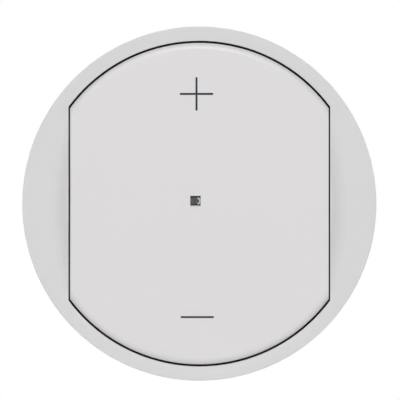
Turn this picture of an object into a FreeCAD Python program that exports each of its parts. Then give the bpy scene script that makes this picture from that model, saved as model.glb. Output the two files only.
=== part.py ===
import FreeCAD, Part
import math
import os
import re

import Sketcher

# Round dimmer switch insert, in millimetres.
# X is to the right seen from the front, Z is up and Y runs from the face back to the wall.
# The origin is on the axis of the round cover, in the plane where the housing's seat pads
# rest on the wall support.

os.makedirs("parts", exist_ok=True)
DOC = FreeCAD.newDocument("DimmerSwitch")
SHEET = DOC.addObject("Spreadsheet::Sheet", "Sizes")

# Driving sizes
SIZES = {
    # Round cover ring
    "disc_radius": 32.0,
    "rim_round": 0.15,
    "ring_depth": 4.9,
    "ring_face": 1.6,
    "ring_wall": 1.4,
    "collar_wall": 1.0,
    "rim_width": 2.58,
    "wing_span": 8.37,
    "arc_gap": 0.38,
    "side_gap": 0.27,
    "wing_width": 3.1,
    "wing_land": 0.25,
    "wing_slope": 32.0,
    "slope_width": 1.0,
    "stake_radius": 1.0,
    "stake_fit": 0.05,
    "stake_head_radius": 1.6,
    "stake_head_height": 0.5,
    "stake_inset": 1.3,
    "stake_height": 8.0,
    # Rocker
    "rocker_rise": 1.3,
    "rocker_thick": 1.6,
    "rocker_wall": 1.4,
    "rocker_lift": 1.3,
    "dome_radius": 1600.0,
    "rocker_rim_round": 1.2,
    "rocker_side_round": 0.3,
    "rocker_rib": 1.2,
    "rib_inset": 0.6,
    "pivot_lift": 1.7,
    "pivot_radius": 0.9,
    "pivot_fit": 0.05,
    "pivot_beyond": 0.2,
    "tab_half": 2.2,
    "tab_reach": 1.3,
    "press_height": 15.0,
    "rocker_post_radius": 1.5,
    "post_dome": 4.0,
    "press_gap": 0.02,
    # Printed marks
    "plus_x": -0.51,
    "plus_margin": 9.24,
    "plus_length": 6.0,
    "plus_line": 0.36,
    "minus_x": -0.37,
    "minus_margin": 8.54,
    "minus_length": 5.96,
    "minus_line": 0.34,
    "mark_depth": 0.1,
    # Indicator
    "indicator_x": -0.70,
    "indicator_height": 0.47,
    "window_size": 1.8,
    "guide_fit": 0.03,
    "guide_sink": 0.12,
    "guide_collar": 0.5,
    "guide_collar_thick": 0.6,
    "guide_end": 0.2,
    "guide_hole_radius": 3.0,
    "led_gap": 0.8,
    "led_radius": 1.5,
    "led_length": 4.7,
    "led_rim": 0.4,
    "led_rim_thick": 0.8,
    "led_fit": 0.2,
    "lead_width": 0.5,
    "lead_pitch": 2.0,
    "holder_rim": 0.6,
    "holder_fit": 0.1,
    # Chassis behind the ring
    "ring_fit": 0.1,
    "chassis_thick": 1.4,
    "standoff_height": 0.8,
    "standoff_radius": 2.0,
    "standoff_x": 16.5,
    "standoff_z": 9.5,
    "plunger_room": 1.0,
    "cheek_gap": 0.33,
    "cheek_thick": 1.4,
    "cheek_half": 3.0,
    "cheek_top_half": 1.6,
    "cheek_rim": 0.3,
    "leg_x": 9.5,
    "leg_width": 5.0,
    "leg_thick": 1.2,
    "leg_inset": 1.5,
    "leg_fit": 0.1,
    "barb_reach": 0.6,
    "barb_length": 0.8,
    # Front housing
    "seat_height": 0.3,
    "seat_half_length": 15.0,
    "seat_inset": 0.3,
    "seat_width": 2.0,
    "flange_half": 24.5,
    "flange_corner": 9.0,
    "flange_thick": 1.7,
    "flange_round": 0.25,
    "boss_half": 20.5,
    "boss_corner": 5.0,
    "boss_height": 2.6,
    "plate_thick": 1.6,
    "lip_fit": 0.1,
    "lip_wall": 0.9,
    "lip_length": 3.0,
    "well_depth": 5.2,
    "well_floor": 1.0,
    "well_wall": 1.2,
    "board_post_radius": 1.5,
    "board_post_inset": 2.2,
    "board_post_z": 6.0,
    # Plungers and their springs
    "head_radius": 2.5,
    "head_fit": 0.15,
    "head_rise": 1.6,
    "head_thick": 2.6,
    "pin_radius": 1.1,
    "pin_fit": 0.1,
    "pin_beyond": 1.1,
    "catch_radius": 1.5,
    "catch_length": 0.4,
    "spring_wire": 0.2,
    "spring_radius": 2.1,
    "spring_turns": 5.0,
    # Rear housing
    "housing_half": 21.5,
    "housing_corner": 4.0,
    "housing_wall": 1.6,
    "back_wall": 1.6,
    "back_round": 1.2,
    "back_room": 0.8,
    "ledge_width": 1.5,
    "ledge_half": 4.0,
    "chamber_wall": 0.6,
    "chamber_inset": 13.0,
    "chamber_gap": 0.4,
    "panel_half": 14.0,
    "panel_low": -4.0,
    "panel_high": 15.0,
    "panel_depth": 0.3,
    "panel_corner": 1.5,
    "vent_pitch": 3.0,
    "vent_width": 1.2,
    "vent_length": 7.0,
    "vent_inset": 4.0,
    # Screws that hold the two halves together
    "screw_inset": 2.7,
    "screw_radius": 1.1,
    "screw_fit": 0.2,
    "thread_fit": 0.03,
    "screw_head_radius": 1.9,
    "screw_head_room": 0.15,
    "screw_slot_width": 0.6,
    "screw_slot_margin": 0.57,
    "screw_slot_depth": 0.8,
    "screw_tube_wall": 1.2,
    "screw_boss_radius": 3.0,
    "screw_boss_length": 8.6,
    "screw_boss_gap": 0.2,
    "screw_tip_gap": 0.8,
    # Spring clips that grip the wall support
    "clip_thick": 0.4,
    "clip_half_width": 4.0,
    "clip_length": 9.4,
    "clip_hook": 1.1,
    "clip_reach": 1.3,
    "clip_grip": 2.2,
    "clip_root": 6.0,
    "clip_root_long": 1.9,
    "clip_fit": 0.1,
    # Boards
    "board_thick": 1.6,
    "board_fit": 0.2,
    "control_inset": 0.9,
    "board_spacing": 2.75,
    "notch_room": 0.4,
    "spacer_radius": 2.0,
    "spacer_x": 14.5,
    "spacer_z": 6.0,
    # Switches and parts on the control board
    "switch_half": 3.0,
    "switch_height": 3.5,
    "stem_radius": 1.75,
    "stem_height": 0.8,
    "stem_gap": 0.65,
    "switch_lid": 0.3,
    "chip_x": -9.5,
    "chip_z": 1.5,
    "chip_long": 5.0,
    "chip_wide": 4.0,
    "chip_height": 1.5,
    "chip_feet": 0.9,
    "chip_pitch": 1.27,
    "chip_foot_width": 0.4,
    "chip_foot_thick": 0.3,
    "small_long": 2.0,
    "small_wide": 1.25,
    "small_height": 0.6,
    "small_pitch": 2.4,
    "small_row": 3.5,
    "small_x": 5.6,
    "small_z": -3.5,
    "link_length": 15.0,
    "link_width": 2.5,
    "link_z": 13.0,
    "link_pitch": 2.5,
    "link_pin": 0.6,
    "link_pin_show": 0.3,
    # Choke
    "choke_x": 10.2,
    "choke_z": 1.2,
    "core_outer": 5.8,
    "core_inner": 3.2,
    "core_thick": 4.6,
    "wire_thick": 0.7,
    "wire_fit": 0.05,
    "choke_turns": 16,
    # Capacitors and fuse on the power board
    "filter_inset": 2.0,
    "filter_long": 13.0,
    "filter_wide": 6.0,
    "filter_height": 11.0,
    "filter_top": 4.2,
    "smooth_radius": 2.5,
    "smooth_height": 10.6,
    "smooth_x": -11.5,
    "smooth_inset": 3.9,
    "fuse_radius": 4.2,
    "fuse_height": 8.0,
    "fuse_x": -4.5,
    "fuse_inset": 4.9,
    # Heat sink and triac
    "sink_thick": 1.5,
    "sink_inset": 2.0,
    "sink_long": 20.0,
    "sink_low": -5.5,
    "sink_high": 13.0,
    "pad_thick": 0.3,
    "pad_margin": 0.8,
    "triac_x": -9.0,
    "triac_low": -3.8,
    "triac_wide": 10.0,
    "triac_body": 9.0,
    "triac_height": 4.5,
    "tab_thick": 1.3,
    "tab_long": 6.0,
    "lead_drop": 1.3,
    "lead_rise": 2.0,
    "lead_thick": 0.5,
    "triac_pitch": 2.54,
    "triac_lead": 0.8,
    "bolt_radius": 1.5,
    "bolt_fit": 0.1,
    "bolt_head_radius": 2.7,
    "bolt_head_height": 1.8,
    # Wire terminals
    "terminal_pitch": 12.5,
    "bore_radius": 1.7,
    "bore_length": 5.0,
    "bore_lead": 0.4,
    "bore_wall": 1.0,
    "bore_inset": 4.0,
    "bar_thick": 0.8,
    "bar_width": 5.0,
    "bar_inset": 1.5,
    "bar_gap": 0.5,
    "bar_foot": 2.0,
    "leaf_start": 1.4,
    "leaf_inset": 1.0,
    "leaf_thick": 0.4,
    "leaf_width": 4.0,
    "leaf_gap": 0.3,
    "leaf_slant": 3.6,
    "button_wide": 3.2,
    "button_tall": 3.6,
    "button_fit": 0.1,
    "button_out": 1.6,
    "button_inset": 10.4,
    "button_collar": 0.6,
    "button_collar_thick": 1.1,
    "button_rest": 0.1,
    "button_nose": 1.8,
    "button_notch": 0.9,
    "button_notch_depth": 0.5,
    "nose_gap": 0.35,
}

for row, (alias, number) in enumerate(SIZES.items(), start=1):
    SHEET.set(f"A{row}", alias)
    SHEET.set(f"B{row}", str(number))
    SHEET.setAlias(f"B{row}", alias)
DOC.recompute()


# Formulas and bindings
def in_sheet(formula):
    """Give a formula with each size's name written as its cell in the sheet."""
    def cell(found):
        return f"Sizes.{found[0]}" if found[0] in SIZES else found[0]
    return re.sub(r"[a-z]\w*", cell, formula)


def value(formula):
    """Work a formula out to a number."""
    return float(SHEET.evalExpression(in_sheet(formula)))


def bind(thing, place, formula):
    """Tie one property or constraint of an object to a formula."""
    thing.setExpression(place, in_sheet(formula))


# Drawing in sketches
def origin_part(body, role):
    """Find an origin plane or axis of a body by its role."""
    return next(part for part in body.Origin.OriginFeatures if part.Role == role)


def sketch_on(body, name, role, offset="0"):
    """Start a sketch on one of a body's origin planes, moved along the plane's normal."""
    sketch = body.newObject("Sketcher::SketchObject", name)
    sketch.AttachmentSupport = [(origin_part(body, role), "")]
    sketch.MapMode = "FlatFace"
    bind(sketch, ".AttachmentOffset.Base.z", offset)
    return sketch


def front_sketch(body, name, level):
    """Start a sketch that faces the front, at a depth given as a formula."""
    return sketch_on(body, name, "XZ_Plane", f"-({level})")


def place_point(sketch, geometry, point, x, z):
    """Tie a point of a sketch to two formulas measured from the sketch's origin."""
    across = Sketcher.Constraint("DistanceX", -1, 1, geometry, point, value(x))
    upward = Sketcher.Constraint("DistanceY", -1, 1, geometry, point, value(z))
    bind(sketch, f"Constraints[{sketch.addConstraint(across)}]", x)
    bind(sketch, f"Constraints[{sketch.addConstraint(upward)}]", z)


def draw_circle(sketch, radius, x="0", z="0"):
    """Add a circle whose radius and centre follow formulas."""
    centre = FreeCAD.Vector(value(x), value(z), 0)
    circle = sketch.addGeometry(Part.Circle(centre, FreeCAD.Vector(0, 0, 1), value(radius)))
    size = sketch.addConstraint(Sketcher.Constraint("Radius", circle, value(radius)))
    bind(sketch, f"Constraints[{size}]", radius)
    place_point(sketch, circle, 3, x, z)


def arc_between(start, end, radius, turn):
    """Make the short arc from start to end, turning left for turn 1 and right for turn -1."""
    middle = (start + end) * 0.5
    along = end - start
    half = along.Length / 2
    left = FreeCAD.Vector(-along.y, along.x, 0).normalize()
    centre = middle + left * (turn * math.sqrt(radius * radius - half * half))
    circle = Part.Circle(centre, FreeCAD.Vector(0, 0, 1), radius)
    first, last = (start, end) if turn > 0 else (end, start)
    return Part.ArcOfCircle(circle, circle.parameter(first), circle.parameter(last))


def draw_outline(sketch, corners, arcs=None):
    """Add a closed outline through corners given as formulas.

    arcs maps the number of an edge to its radius and turn; the other edges are straight.
    """
    arcs = arcs or {}
    points = [FreeCAD.Vector(value(x), value(z), 0) for x, z in corners]
    ends = []
    for edge, start in enumerate(points):
        end = points[(edge + 1) % len(points)]
        if edge in arcs:
            radius, turn = arcs[edge]
            geometry = sketch.addGeometry(arc_between(start, end, value(radius), turn))
            size = sketch.addConstraint(Sketcher.Constraint("Radius", geometry, value(radius)))
            bind(sketch, f"Constraints[{size}]", radius)
            ends.append((geometry, 1, 2) if turn > 0 else (geometry, 2, 1))
        else:
            geometry = sketch.addGeometry(Part.LineSegment(start, end))
            ends.append((geometry, 1, 2))
    for edge, (x, z) in enumerate(corners):
        geometry, begin, _ = ends[edge]
        before, _, finish = ends[edge - 1]
        sketch.addConstraint(Sketcher.Constraint("Coincident", before, finish, geometry, begin))
        place_point(sketch, geometry, begin, x, z)


def draw_box(sketch, x_low, x_high, z_low, z_high):
    """Add a rectangle between formulas."""
    draw_outline(sketch, [(x_low, z_low), (x_high, z_low), (x_high, z_high), (x_low, z_high)])


def draw_rounded_square(sketch, half, corner):
    """Add a square about the sketch's origin with round corners."""
    inner = f"({half}) - ({corner})"
    corners = [
        (f"-({inner})", f"-({half})"),
        (inner, f"-({half})"),
        (half, f"-({inner})"),
        (half, inner),
        (inner, half),
        (f"-({inner})", half),
        (f"-({half})", inner),
        (f"-({half})", f"-({inner})"),
    ]
    draw_outline(sketch, corners, {edge: (corner, 1) for edge in (1, 3, 5, 7)})


def draw_truncated_circle(sketch, radius, half_width):
    """Add a circle cut off straight at the left and the right."""
    reach = f"sqrt(({radius})^2 - ({half_width})^2)"
    corners = [
        (f"-({half_width})", f"-{reach}"),
        (half_width, f"-{reach}"),
        (half_width, reach),
        (f"-({half_width})", reach),
    ]
    draw_outline(sketch, corners, {0: (radius, 1), 2: (radius, 1)})


def draw_cap(sketch, radius, edge, side):
    """Add the part of a circle that lies beyond a straight edge at the right or the left."""
    reach = f"sqrt(({radius})^2 - ({edge})^2)"
    across = edge if side > 0 else f"-({edge})"
    draw_outline(sketch, [(across, f"-{reach}"), (across, reach)], {0: (radius, side)})


# Features of bodies
def new_body(name):
    """Start a body that becomes one node."""
    return DOC.addObject("PartDesign::Body", name)


def extruded(body, name, front, back, draw):
    """Add material between two depths from an outline that faces the front."""
    sketch = front_sketch(body, name + "Sketch", back)
    draw(sketch)
    pad = body.newObject("PartDesign::Pad", name)
    pad.Profile = sketch
    bind(pad, "Length", f"({back}) - ({front})")
    return pad


def cut_away(body, name, front, back, draw):
    """Take material away between two depths from an outline that faces the front."""
    sketch = front_sketch(body, name + "Sketch", front)
    draw(sketch)
    pocket = body.newObject("PartDesign::Pocket", name)
    pocket.Profile = sketch
    bind(pocket, "Length", f"({back}) - ({front})")
    return pocket


def turned(body, name, corners, arcs=None, x="0", z="0", angle=None):
    """Turn a profile about a line along Y through x and z, adding material."""
    sketch = sketch_on(body, name + "Sketch", "XY_Plane", z)
    bind(sketch, ".AttachmentOffset.Base.x", x)
    draw_outline(sketch, corners, arcs)
    solid = body.newObject("PartDesign::Revolution", name)
    solid.Profile = sketch
    solid.ReferenceAxis = (sketch, ["V_Axis"])
    if angle is None:
        solid.Angle = 360
    else:
        solid.Midplane = True
        bind(solid, "Angle", angle)
    return solid


def across_sketch(body, name, x):
    """Start a sketch that faces the right, whose axes are Y and Z, at a formula for x."""
    return sketch_on(body, name, "YZ_Plane", x)


def chosen_edges(body, name, test):
    """Give a body's last feature and the names of its edges that pass a test."""
    DOC.recompute()
    tip = body.Tip
    edges = [f"Edge{number}" for number, edge in enumerate(tip.Shape.Edges, start=1) if test(edge)]
    if not edges:
        raise RuntimeError(f"{body.Label}: no edge for {name}")
    return (tip, edges)


def rounded(body, name, radius, test):
    """Round the edges of a body's last feature that pass a test."""
    base = chosen_edges(body, name, test)
    fillet = body.newObject("PartDesign::Fillet", name)
    fillet.Base = base
    bind(fillet, "Radius", radius)
    return fillet


def bevelled(body, name, size, test):
    """Bevel the edges of a body's last feature that pass a test."""
    base = chosen_edges(body, name, test)
    chamfer = body.newObject("PartDesign::Chamfer", name)
    chamfer.Base = base
    bind(chamfer, "Size", size)
    return chamfer


def mirrored(body, name, features, role="YZ_Plane"):
    """Repeat features of a body on the other side of one of its origin planes."""
    mirror = body.newObject("PartDesign::Mirrored", name)
    mirror.Originals = features
    mirror.MirrorPlane = (origin_part(body, role), [""])
    body.Tip = mirror
    return mirror


# Simple solids
def block(name, x, y, z):
    """Make a box between pairs of formulas."""
    box = DOC.addObject("Part::Box", name)
    for size, axis, (low, high) in (("Length", "x", x), ("Width", "y", y), ("Height", "z", z)):
        bind(box, size, f"({high}) - ({low})")
        bind(box, f".Placement.Base.{axis}", low)
    return box


def rod(name, radius, front, back, x="0", z="0"):
    """Make a cylinder along Y between two depths."""
    cylinder = DOC.addObject("Part::Cylinder", name)
    cylinder.Placement.Rotation = FreeCAD.Rotation(FreeCAD.Vector(1, 0, 0), -90)
    bind(cylinder, "Radius", radius)
    bind(cylinder, "Height", f"({back}) - ({front})")
    bind(cylinder, ".Placement.Base.x", x)
    bind(cylinder, ".Placement.Base.y", front)
    bind(cylinder, ".Placement.Base.z", z)
    return cylinder


def fused(name, pieces):
    """Join overlapping or touching solids into one."""
    union = DOC.addObject("Part::MultiFuse", name)
    union.Shapes = pieces
    union.Refine = True
    return union


def cut(name, base, tool):
    """Take one solid away from another."""
    rest = DOC.addObject("Part::Cut", name)
    rest.Base = base
    rest.Tool = tool
    return rest


def group(name, pieces):
    """Keep separate solids together in one node."""
    compound = DOC.addObject("Part::Compound", name)
    compound.Links = pieces
    return compound


# Depths from the face to the back
FLANGE_BACK = "(-seat_height)"
FLANGE_FRONT = f"({FLANGE_BACK} - flange_thick)"
PLATE_FRONT = f"({FLANGE_FRONT} - boss_height)"
PLATE_BACK = f"({PLATE_FRONT} + plate_thick)"
CHASSIS_BACK = f"({PLATE_FRONT} - standoff_height)"
CHASSIS_FRONT = f"({CHASSIS_BACK} - chassis_thick)"
RING_FRONT = f"({CHASSIS_BACK} - ring_depth)"
RING_INSIDE = f"({RING_FRONT} + ring_face)"
PIVOT = f"({CHASSIS_FRONT} - pivot_lift)"
APEX = f"({RING_FRONT} - rocker_rise)"
FREE_FRONT = f"({APEX} - rocker_rise)"
ROCKER_UNDER = f"({APEX} + rocker_thick)"
ROCKER_BACK = f"({CHASSIS_FRONT} - rocker_lift)"
HEAD_FRONT = f"({PLATE_FRONT} - head_rise)"
HEAD_BACK = f"({HEAD_FRONT} + head_thick)"
WELL_FLOOR = f"({PLATE_FRONT} + well_depth)"
WELL_BACK = f"({WELL_FLOOR} + well_floor)"
PIN_BACK = f"({WELL_BACK} + pin_beyond)"
STEM_FRONT = f"({PIN_BACK} + stem_gap)"
SWITCH_FRONT = f"({STEM_FRONT} + stem_height)"
CONTROL_FRONT = f"({SWITCH_FRONT} + switch_height)"
CONTROL_BACK = f"({CONTROL_FRONT} + board_thick)"
POWER_FRONT = f"({CONTROL_BACK} + board_spacing)"
POWER_BACK = f"({POWER_FRONT} + board_thick)"
BACK_INSIDE = f"({POWER_BACK} + filter_height + back_room)"
HOUSING_BACK = f"({BACK_INSIDE} + back_wall)"
GUIDE_BACK = f"({CHASSIS_BACK} + guide_end)"
LED_FRONT = f"({GUIDE_BACK} + led_gap)"
LED_BACK = f"({LED_FRONT} + led_length)"
BORE_FRONT = f"({HOUSING_BACK} - bore_length)"
SINK_FRONT = f"({BACK_INSIDE} - sink_thick)"
PAD_FRONT = f"({SINK_FRONT} - pad_thick)"
TAB_FRONT = f"({PAD_FRONT} - tab_thick)"
TRIAC_FRONT = f"({PAD_FRONT} - triac_height)"

# Places across the face
OPENING_RADIUS = "(disc_radius - rim_width)"
OPENING_HALF = "(disc_radius - wing_span)"
OPENING_REACH = f"sqrt({OPENING_RADIUS}^2 - {OPENING_HALF}^2)"
SKIRT_INSIDE = "(disc_radius - ring_wall)"
STAKE_X = f"({OPENING_HALF} + collar_wall + stake_inset + stake_radius)"
ROCKER_RADIUS = f"({OPENING_RADIUS} - arc_gap)"
ROCKER_HALF = f"({OPENING_HALF} - side_gap)"
ROCKER_INSIDE = f"({ROCKER_HALF} - rocker_wall)"
PLUS_HEIGHT = f"({ROCKER_RADIUS} - plus_margin)"
MINUS_HEIGHT = f"({ROCKER_RADIUS} - minus_margin)"
CHEEK_OUTSIDE = f"({ROCKER_INSIDE} - cheek_gap)"
CHEEK_INSIDE = f"({CHEEK_OUTSIDE} - cheek_thick)"
INSIDE_HALF = "(housing_half - housing_wall)"
LIP_OUTSIDE = f"({INSIDE_HALF} - lip_fit)"
LIP_INSIDE = f"({LIP_OUTSIDE} - lip_wall)"
LEG_OUTSIDE = f"({LIP_INSIDE} - leg_inset)"
LEG_INSIDE = f"({LEG_OUTSIDE} - leg_thick)"
SCREW_AT = f"({INSIDE_HALF} - screw_inset)"
BOARD_POST_X = f"({LIP_INSIDE} - board_post_inset)"
HALF_CORNERS = ((1, 1), (-1, 1), (-1, -1), (1, -1))


def signed(side, formula):
    """Give a formula on the positive or the negative side."""
    return formula if side > 0 else f"-({formula})"


def centred(middle, half):
    """Give the two ends of a span about a middle."""
    return (f"{middle} - {half}", f"{middle} + {half}")


def on_dome(distance):
    """Depth of the rocker's domed face at a distance from its middle."""
    return f"({APEX} + dome_radius - sqrt(dome_radius^2 - ({distance})^2))"


# Cover ring
def make_cover_ring():
    """Round cover with a truncated-circle opening between two hollowed wings."""
    ring = new_body("cover_ring")
    extruded(ring, "RingDisc", RING_FRONT, CHASSIS_BACK, lambda s: draw_circle(s, "disc_radius"))
    front = value(RING_FRONT)
    rounded(ring, "RingRim", "rim_round", lambda edge: abs(edge.BoundBox.YMax - front) < 1e-6)

    sweep = f"(({OPENING_REACH}^2 + wing_width^2) / (2 * wing_width))"
    hollow_width = "(wing_width - wing_land - slope_width)"
    hollow_radius = f"({hollow_width} / sin(wing_slope))"
    slope_foot = f"({RING_FRONT} - {hollow_radius} * (1 - cos(wing_slope)))"
    crest = f"({slope_foot} - slope_width * tan(wing_slope))"
    root = f"({RING_FRONT} + ring_face / 2)"
    inner = f"({sweep} - wing_width - wing_land)"
    cove = turned(
        ring,
        "WingCove",
        [
            (sweep, RING_FRONT),
            (f"{sweep} - {hollow_width}", slope_foot),
            (f"{sweep} - wing_width + wing_land", crest),
            (inner, crest),
            (inner, root),
            (sweep, root),
        ],
        {0: (hollow_radius, 1)},
        x=f"{OPENING_HALF} + wing_width - {sweep}",
        angle=f"2 * asin({OPENING_REACH} / {sweep})",
    )
    mirrored(ring, "OtherWing", [cove])

    def opening(sketch):
        draw_truncated_circle(sketch, OPENING_RADIUS, OPENING_HALF)

    def wing_rooms(sketch):
        for side in (1, -1):
            draw_cap(sketch, SKIRT_INSIDE, f"{OPENING_HALF} + collar_wall", side)

    def four_circles(radius):
        def draw(sketch):
            for across, upward in HALF_CORNERS:
                draw_circle(sketch, radius, signed(across, STAKE_X), signed(upward, "stake_height"))
        return draw

    cut_away(ring, "Opening", FREE_FRONT, CHASSIS_BACK, opening)
    cut_away(ring, "WingRooms", RING_INSIDE, CHASSIS_BACK, wing_rooms)
    cut_away(ring, "ChassisSeat", CHASSIS_FRONT, CHASSIS_BACK, lambda s: draw_circle(s, SKIRT_INSIDE))
    head_back = f"{CHASSIS_BACK} + stake_head_height"
    extruded(ring, "Stakes", RING_INSIDE, CHASSIS_BACK, four_circles("stake_radius"))
    extruded(ring, "StakeHeads", CHASSIS_BACK, head_back, four_circles("stake_head_radius"))
    return ring


# Chassis
def make_cover_chassis():
    """Plate behind the ring with the rocker's bearings and the snap legs."""
    chassis = new_body("cover_chassis")
    rim = f"{SKIRT_INSIDE} - ring_fit"
    extruded(chassis, "Plate", CHASSIS_FRONT, CHASSIS_BACK, lambda s: draw_circle(s, rim))

    def standoffs(sketch):
        for across, upward in HALF_CORNERS:
            draw_circle(
                sketch, "standoff_radius", signed(across, "standoff_x"), signed(upward, "standoff_z")
            )

    def holes(sketch):
        for side in (1, -1):
            draw_circle(sketch, "head_radius + plunger_room", "0", signed(side, "press_height"))
        draw_circle(sketch, "guide_hole_radius", "indicator_x", "indicator_height")
        for across, upward in HALF_CORNERS:
            x = signed(across, STAKE_X)
            draw_circle(sketch, "stake_radius + stake_fit", x, signed(upward, "stake_height"))

    extruded(chassis, "Standoffs", CHASSIS_BACK, PLATE_FRONT, standoffs)
    cut_away(chassis, "PlateHoles", CHASSIS_FRONT, CHASSIS_BACK, holes)

    bearing = "pivot_radius + pivot_fit"
    cheek_top = f"({PIVOT} - ({bearing}) - cheek_rim)"
    cheek_root = f"({CHASSIS_FRONT} + chassis_thick / 2)"
    cheek_sketch = across_sketch(chassis, "CheekSketch", CHEEK_INSIDE)
    draw_outline(
        cheek_sketch,
        [
            (cheek_root, "-cheek_half"),
            (cheek_root, "cheek_half"),
            (cheek_top, "cheek_top_half"),
            (cheek_top, "-cheek_top_half"),
        ],
    )
    draw_circle(cheek_sketch, bearing, PIVOT)
    cheek = chassis.newObject("PartDesign::Pad", "Cheek")
    cheek.Profile = cheek_sketch
    bind(cheek, "Length", "cheek_thick")

    barb_front = f"({PLATE_BACK} + leg_fit)"
    barb_back = f"({barb_front} + barb_length)"
    leg_root = f"({CHASSIS_BACK} - chassis_thick / 2)"
    leg_sketch = across_sketch(chassis, "LegSketch", "leg_x - leg_width / 2")
    for side in (1, -1):
        profile = [
            (leg_root, LEG_INSIDE),
            (barb_back, LEG_INSIDE),
            (barb_back, LEG_OUTSIDE),
            (barb_front, f"{LEG_OUTSIDE} + barb_reach"),
            (barb_front, LEG_OUTSIDE),
            (leg_root, LEG_OUTSIDE),
        ]
        draw_outline(leg_sketch, [(y, signed(side, z)) for y, z in profile])
    leg = chassis.newObject("PartDesign::Pad", "Leg")
    leg.Profile = leg_sketch
    bind(leg, "Length", "leg_width")
    mirrored(chassis, "OtherSide", [cheek, leg])
    return chassis


# Rocker
def plus_outline(sketch):
    """Draw the outline of the plus sign."""
    x, z = "plus_x", PLUS_HEIGHT
    arm, line = "plus_length / 2", "plus_line / 2"
    corners = [
        (-1, line, -1, line), (-1, line, -1, arm), (1, line, -1, arm), (1, line, -1, line),
        (1, arm, -1, line), (1, arm, 1, line), (1, line, 1, line), (1, line, 1, arm),
        (-1, line, 1, arm), (-1, line, 1, line), (-1, arm, 1, line), (-1, arm, -1, line),
    ]
    draw_outline(
        sketch,
        [(f"{x} + ({across}) * {a}", f"{z} + ({upward}) * {b}") for across, a, upward, b in corners],
    )


def minus_outline(sketch):
    """Draw the outline of the minus sign."""
    draw_box(
        sketch,
        "minus_x - minus_length / 2",
        "minus_x + minus_length / 2",
        f"-{MINUS_HEIGHT} - minus_line / 2",
        f"-{MINUS_HEIGHT} + minus_line / 2",
    )


PLUS_FLOOR = "(" + on_dome(f"{PLUS_HEIGHT} + plus_length / 2") + " + mark_depth)"
MINUS_FLOOR = "(" + on_dome(f"{MINUS_HEIGHT} + minus_length / 2") + " + mark_depth)"


def make_rocker():
    """Domed plate with one-piece pivots, two pressing posts and recesses for its marks."""
    rocker = new_body("rocker")
    edge_x = f"({ROCKER_RADIUS} - rocker_rim_round)"
    inner_dome = "(dome_radius - rocker_rim_round)"
    centre_rise = f"sqrt({inner_dome}^2 - {edge_x}^2)"
    turned(
        rocker,
        "Dome",
        [
            ("0", APEX),
            (
                f"{edge_x} * dome_radius / {inner_dome}",
                f"{APEX} + dome_radius - {centre_rise} * dome_radius / {inner_dome}",
            ),
            (ROCKER_RADIUS, f"{APEX} + dome_radius - {centre_rise}"),
            (ROCKER_RADIUS, ROCKER_BACK),
            ("0", ROCKER_BACK),
        ],
        {0: ("dome_radius", 1), 1: ("rocker_rim_round", 1)},
    )

    def side_caps(sketch):
        for side in (1, -1):
            draw_cap(sketch, f"{ROCKER_RADIUS} + rocker_wall", ROCKER_HALF, side)

    cut_away(rocker, "StraightSides", FREE_FRONT, ROCKER_BACK, side_caps)
    half = value(ROCKER_HALF)
    back = value(ROCKER_BACK)

    def on_side(edge):
        box = edge.BoundBox
        flat = box.XLength < 1e-6 and abs(abs(box.XMin) - half) < 1e-6
        return flat and box.YMax < back - 1e-3 and box.ZLength > half

    rounded(rocker, "SideRounds", "rocker_side_round", on_side)

    def underside(sketch):
        draw_truncated_circle(sketch, f"{ROCKER_RADIUS} - rocker_wall", ROCKER_INSIDE)

    def ribs(sketch):
        for side in (1, -1):
            low = signed(side, "press_height") + " - rocker_rib / 2"
            high = signed(side, "press_height") + " + rocker_rib / 2"
            draw_box(sketch, f"-{ROCKER_INSIDE}", ROCKER_INSIDE, low, high)

    cut_away(rocker, "Underside", ROCKER_UNDER, ROCKER_BACK, underside)
    extruded(rocker, "Ribs", ROCKER_UNDER, f"{ROCKER_BACK} - rib_inset", ribs)

    post_back = f"({HEAD_FRONT} - press_gap)"
    post_sag = "(post_dome - sqrt(post_dome^2 - rocker_post_radius^2))"
    post = turned(
        rocker,
        "PressingPost",
        [
            ("0", ROCKER_UNDER),
            ("rocker_post_radius", ROCKER_UNDER),
            ("rocker_post_radius", f"{post_back} - {post_sag}"),
            ("0", post_back),
        ],
        {2: ("post_dome", 1)},
        z="press_height",
    )
    mirrored(rocker, "OtherPost", [post], "XY_Plane")

    tab_sketch = across_sketch(rocker, "TabSketch", ROCKER_INSIDE)
    draw_box(tab_sketch, ROCKER_UNDER, f"{PIVOT} + tab_reach", "-tab_half", "tab_half")
    tab = rocker.newObject("PartDesign::Pad", "Tab")
    tab.Profile = tab_sketch
    bind(tab, "Length", "rocker_wall")
    pin_tip = f"({CHEEK_INSIDE} - pivot_beyond)"
    pin_sketch = across_sketch(rocker, "PinSketch", pin_tip)
    draw_circle(pin_sketch, "pivot_radius", PIVOT)
    pin = rocker.newObject("PartDesign::Pad", "Pin")
    pin.Profile = pin_sketch
    bind(pin, "Length", f"{ROCKER_INSIDE} + rocker_wall / 2 - {pin_tip}")
    mirrored(rocker, "OtherPivot", [tab, pin])

    def window(sketch):
        hole = "(window_size / 2 + guide_fit)"
        draw_box(
            sketch,
            f"indicator_x - {hole}",
            f"indicator_x + {hole}",
            f"indicator_height - {hole}",
            f"indicator_height + {hole}",
        )

    cut_away(rocker, "Window", FREE_FRONT, ROCKER_UNDER, window)
    cut_away(rocker, "PlusRecess", FREE_FRONT, PLUS_FLOOR, plus_outline)
    cut_away(rocker, "MinusRecess", FREE_FRONT, MINUS_FLOOR, minus_outline)
    return rocker


def make_mark(name, outline, floor):
    """Ink of a printed mark, flush with the rocker's domed face."""
    ink = new_body(name + "_ink")
    extruded(ink, "Ink", FREE_FRONT, floor, outline)
    dome = DOC.addObject("Part::Sphere", name + "_dome")
    bind(dome, "Radius", "dome_radius")
    bind(dome, ".Placement.Base.y", f"{APEX} + dome_radius")
    mark = DOC.addObject("Part::MultiCommon", name)
    mark.Shapes = [ink, dome]
    return mark


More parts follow.
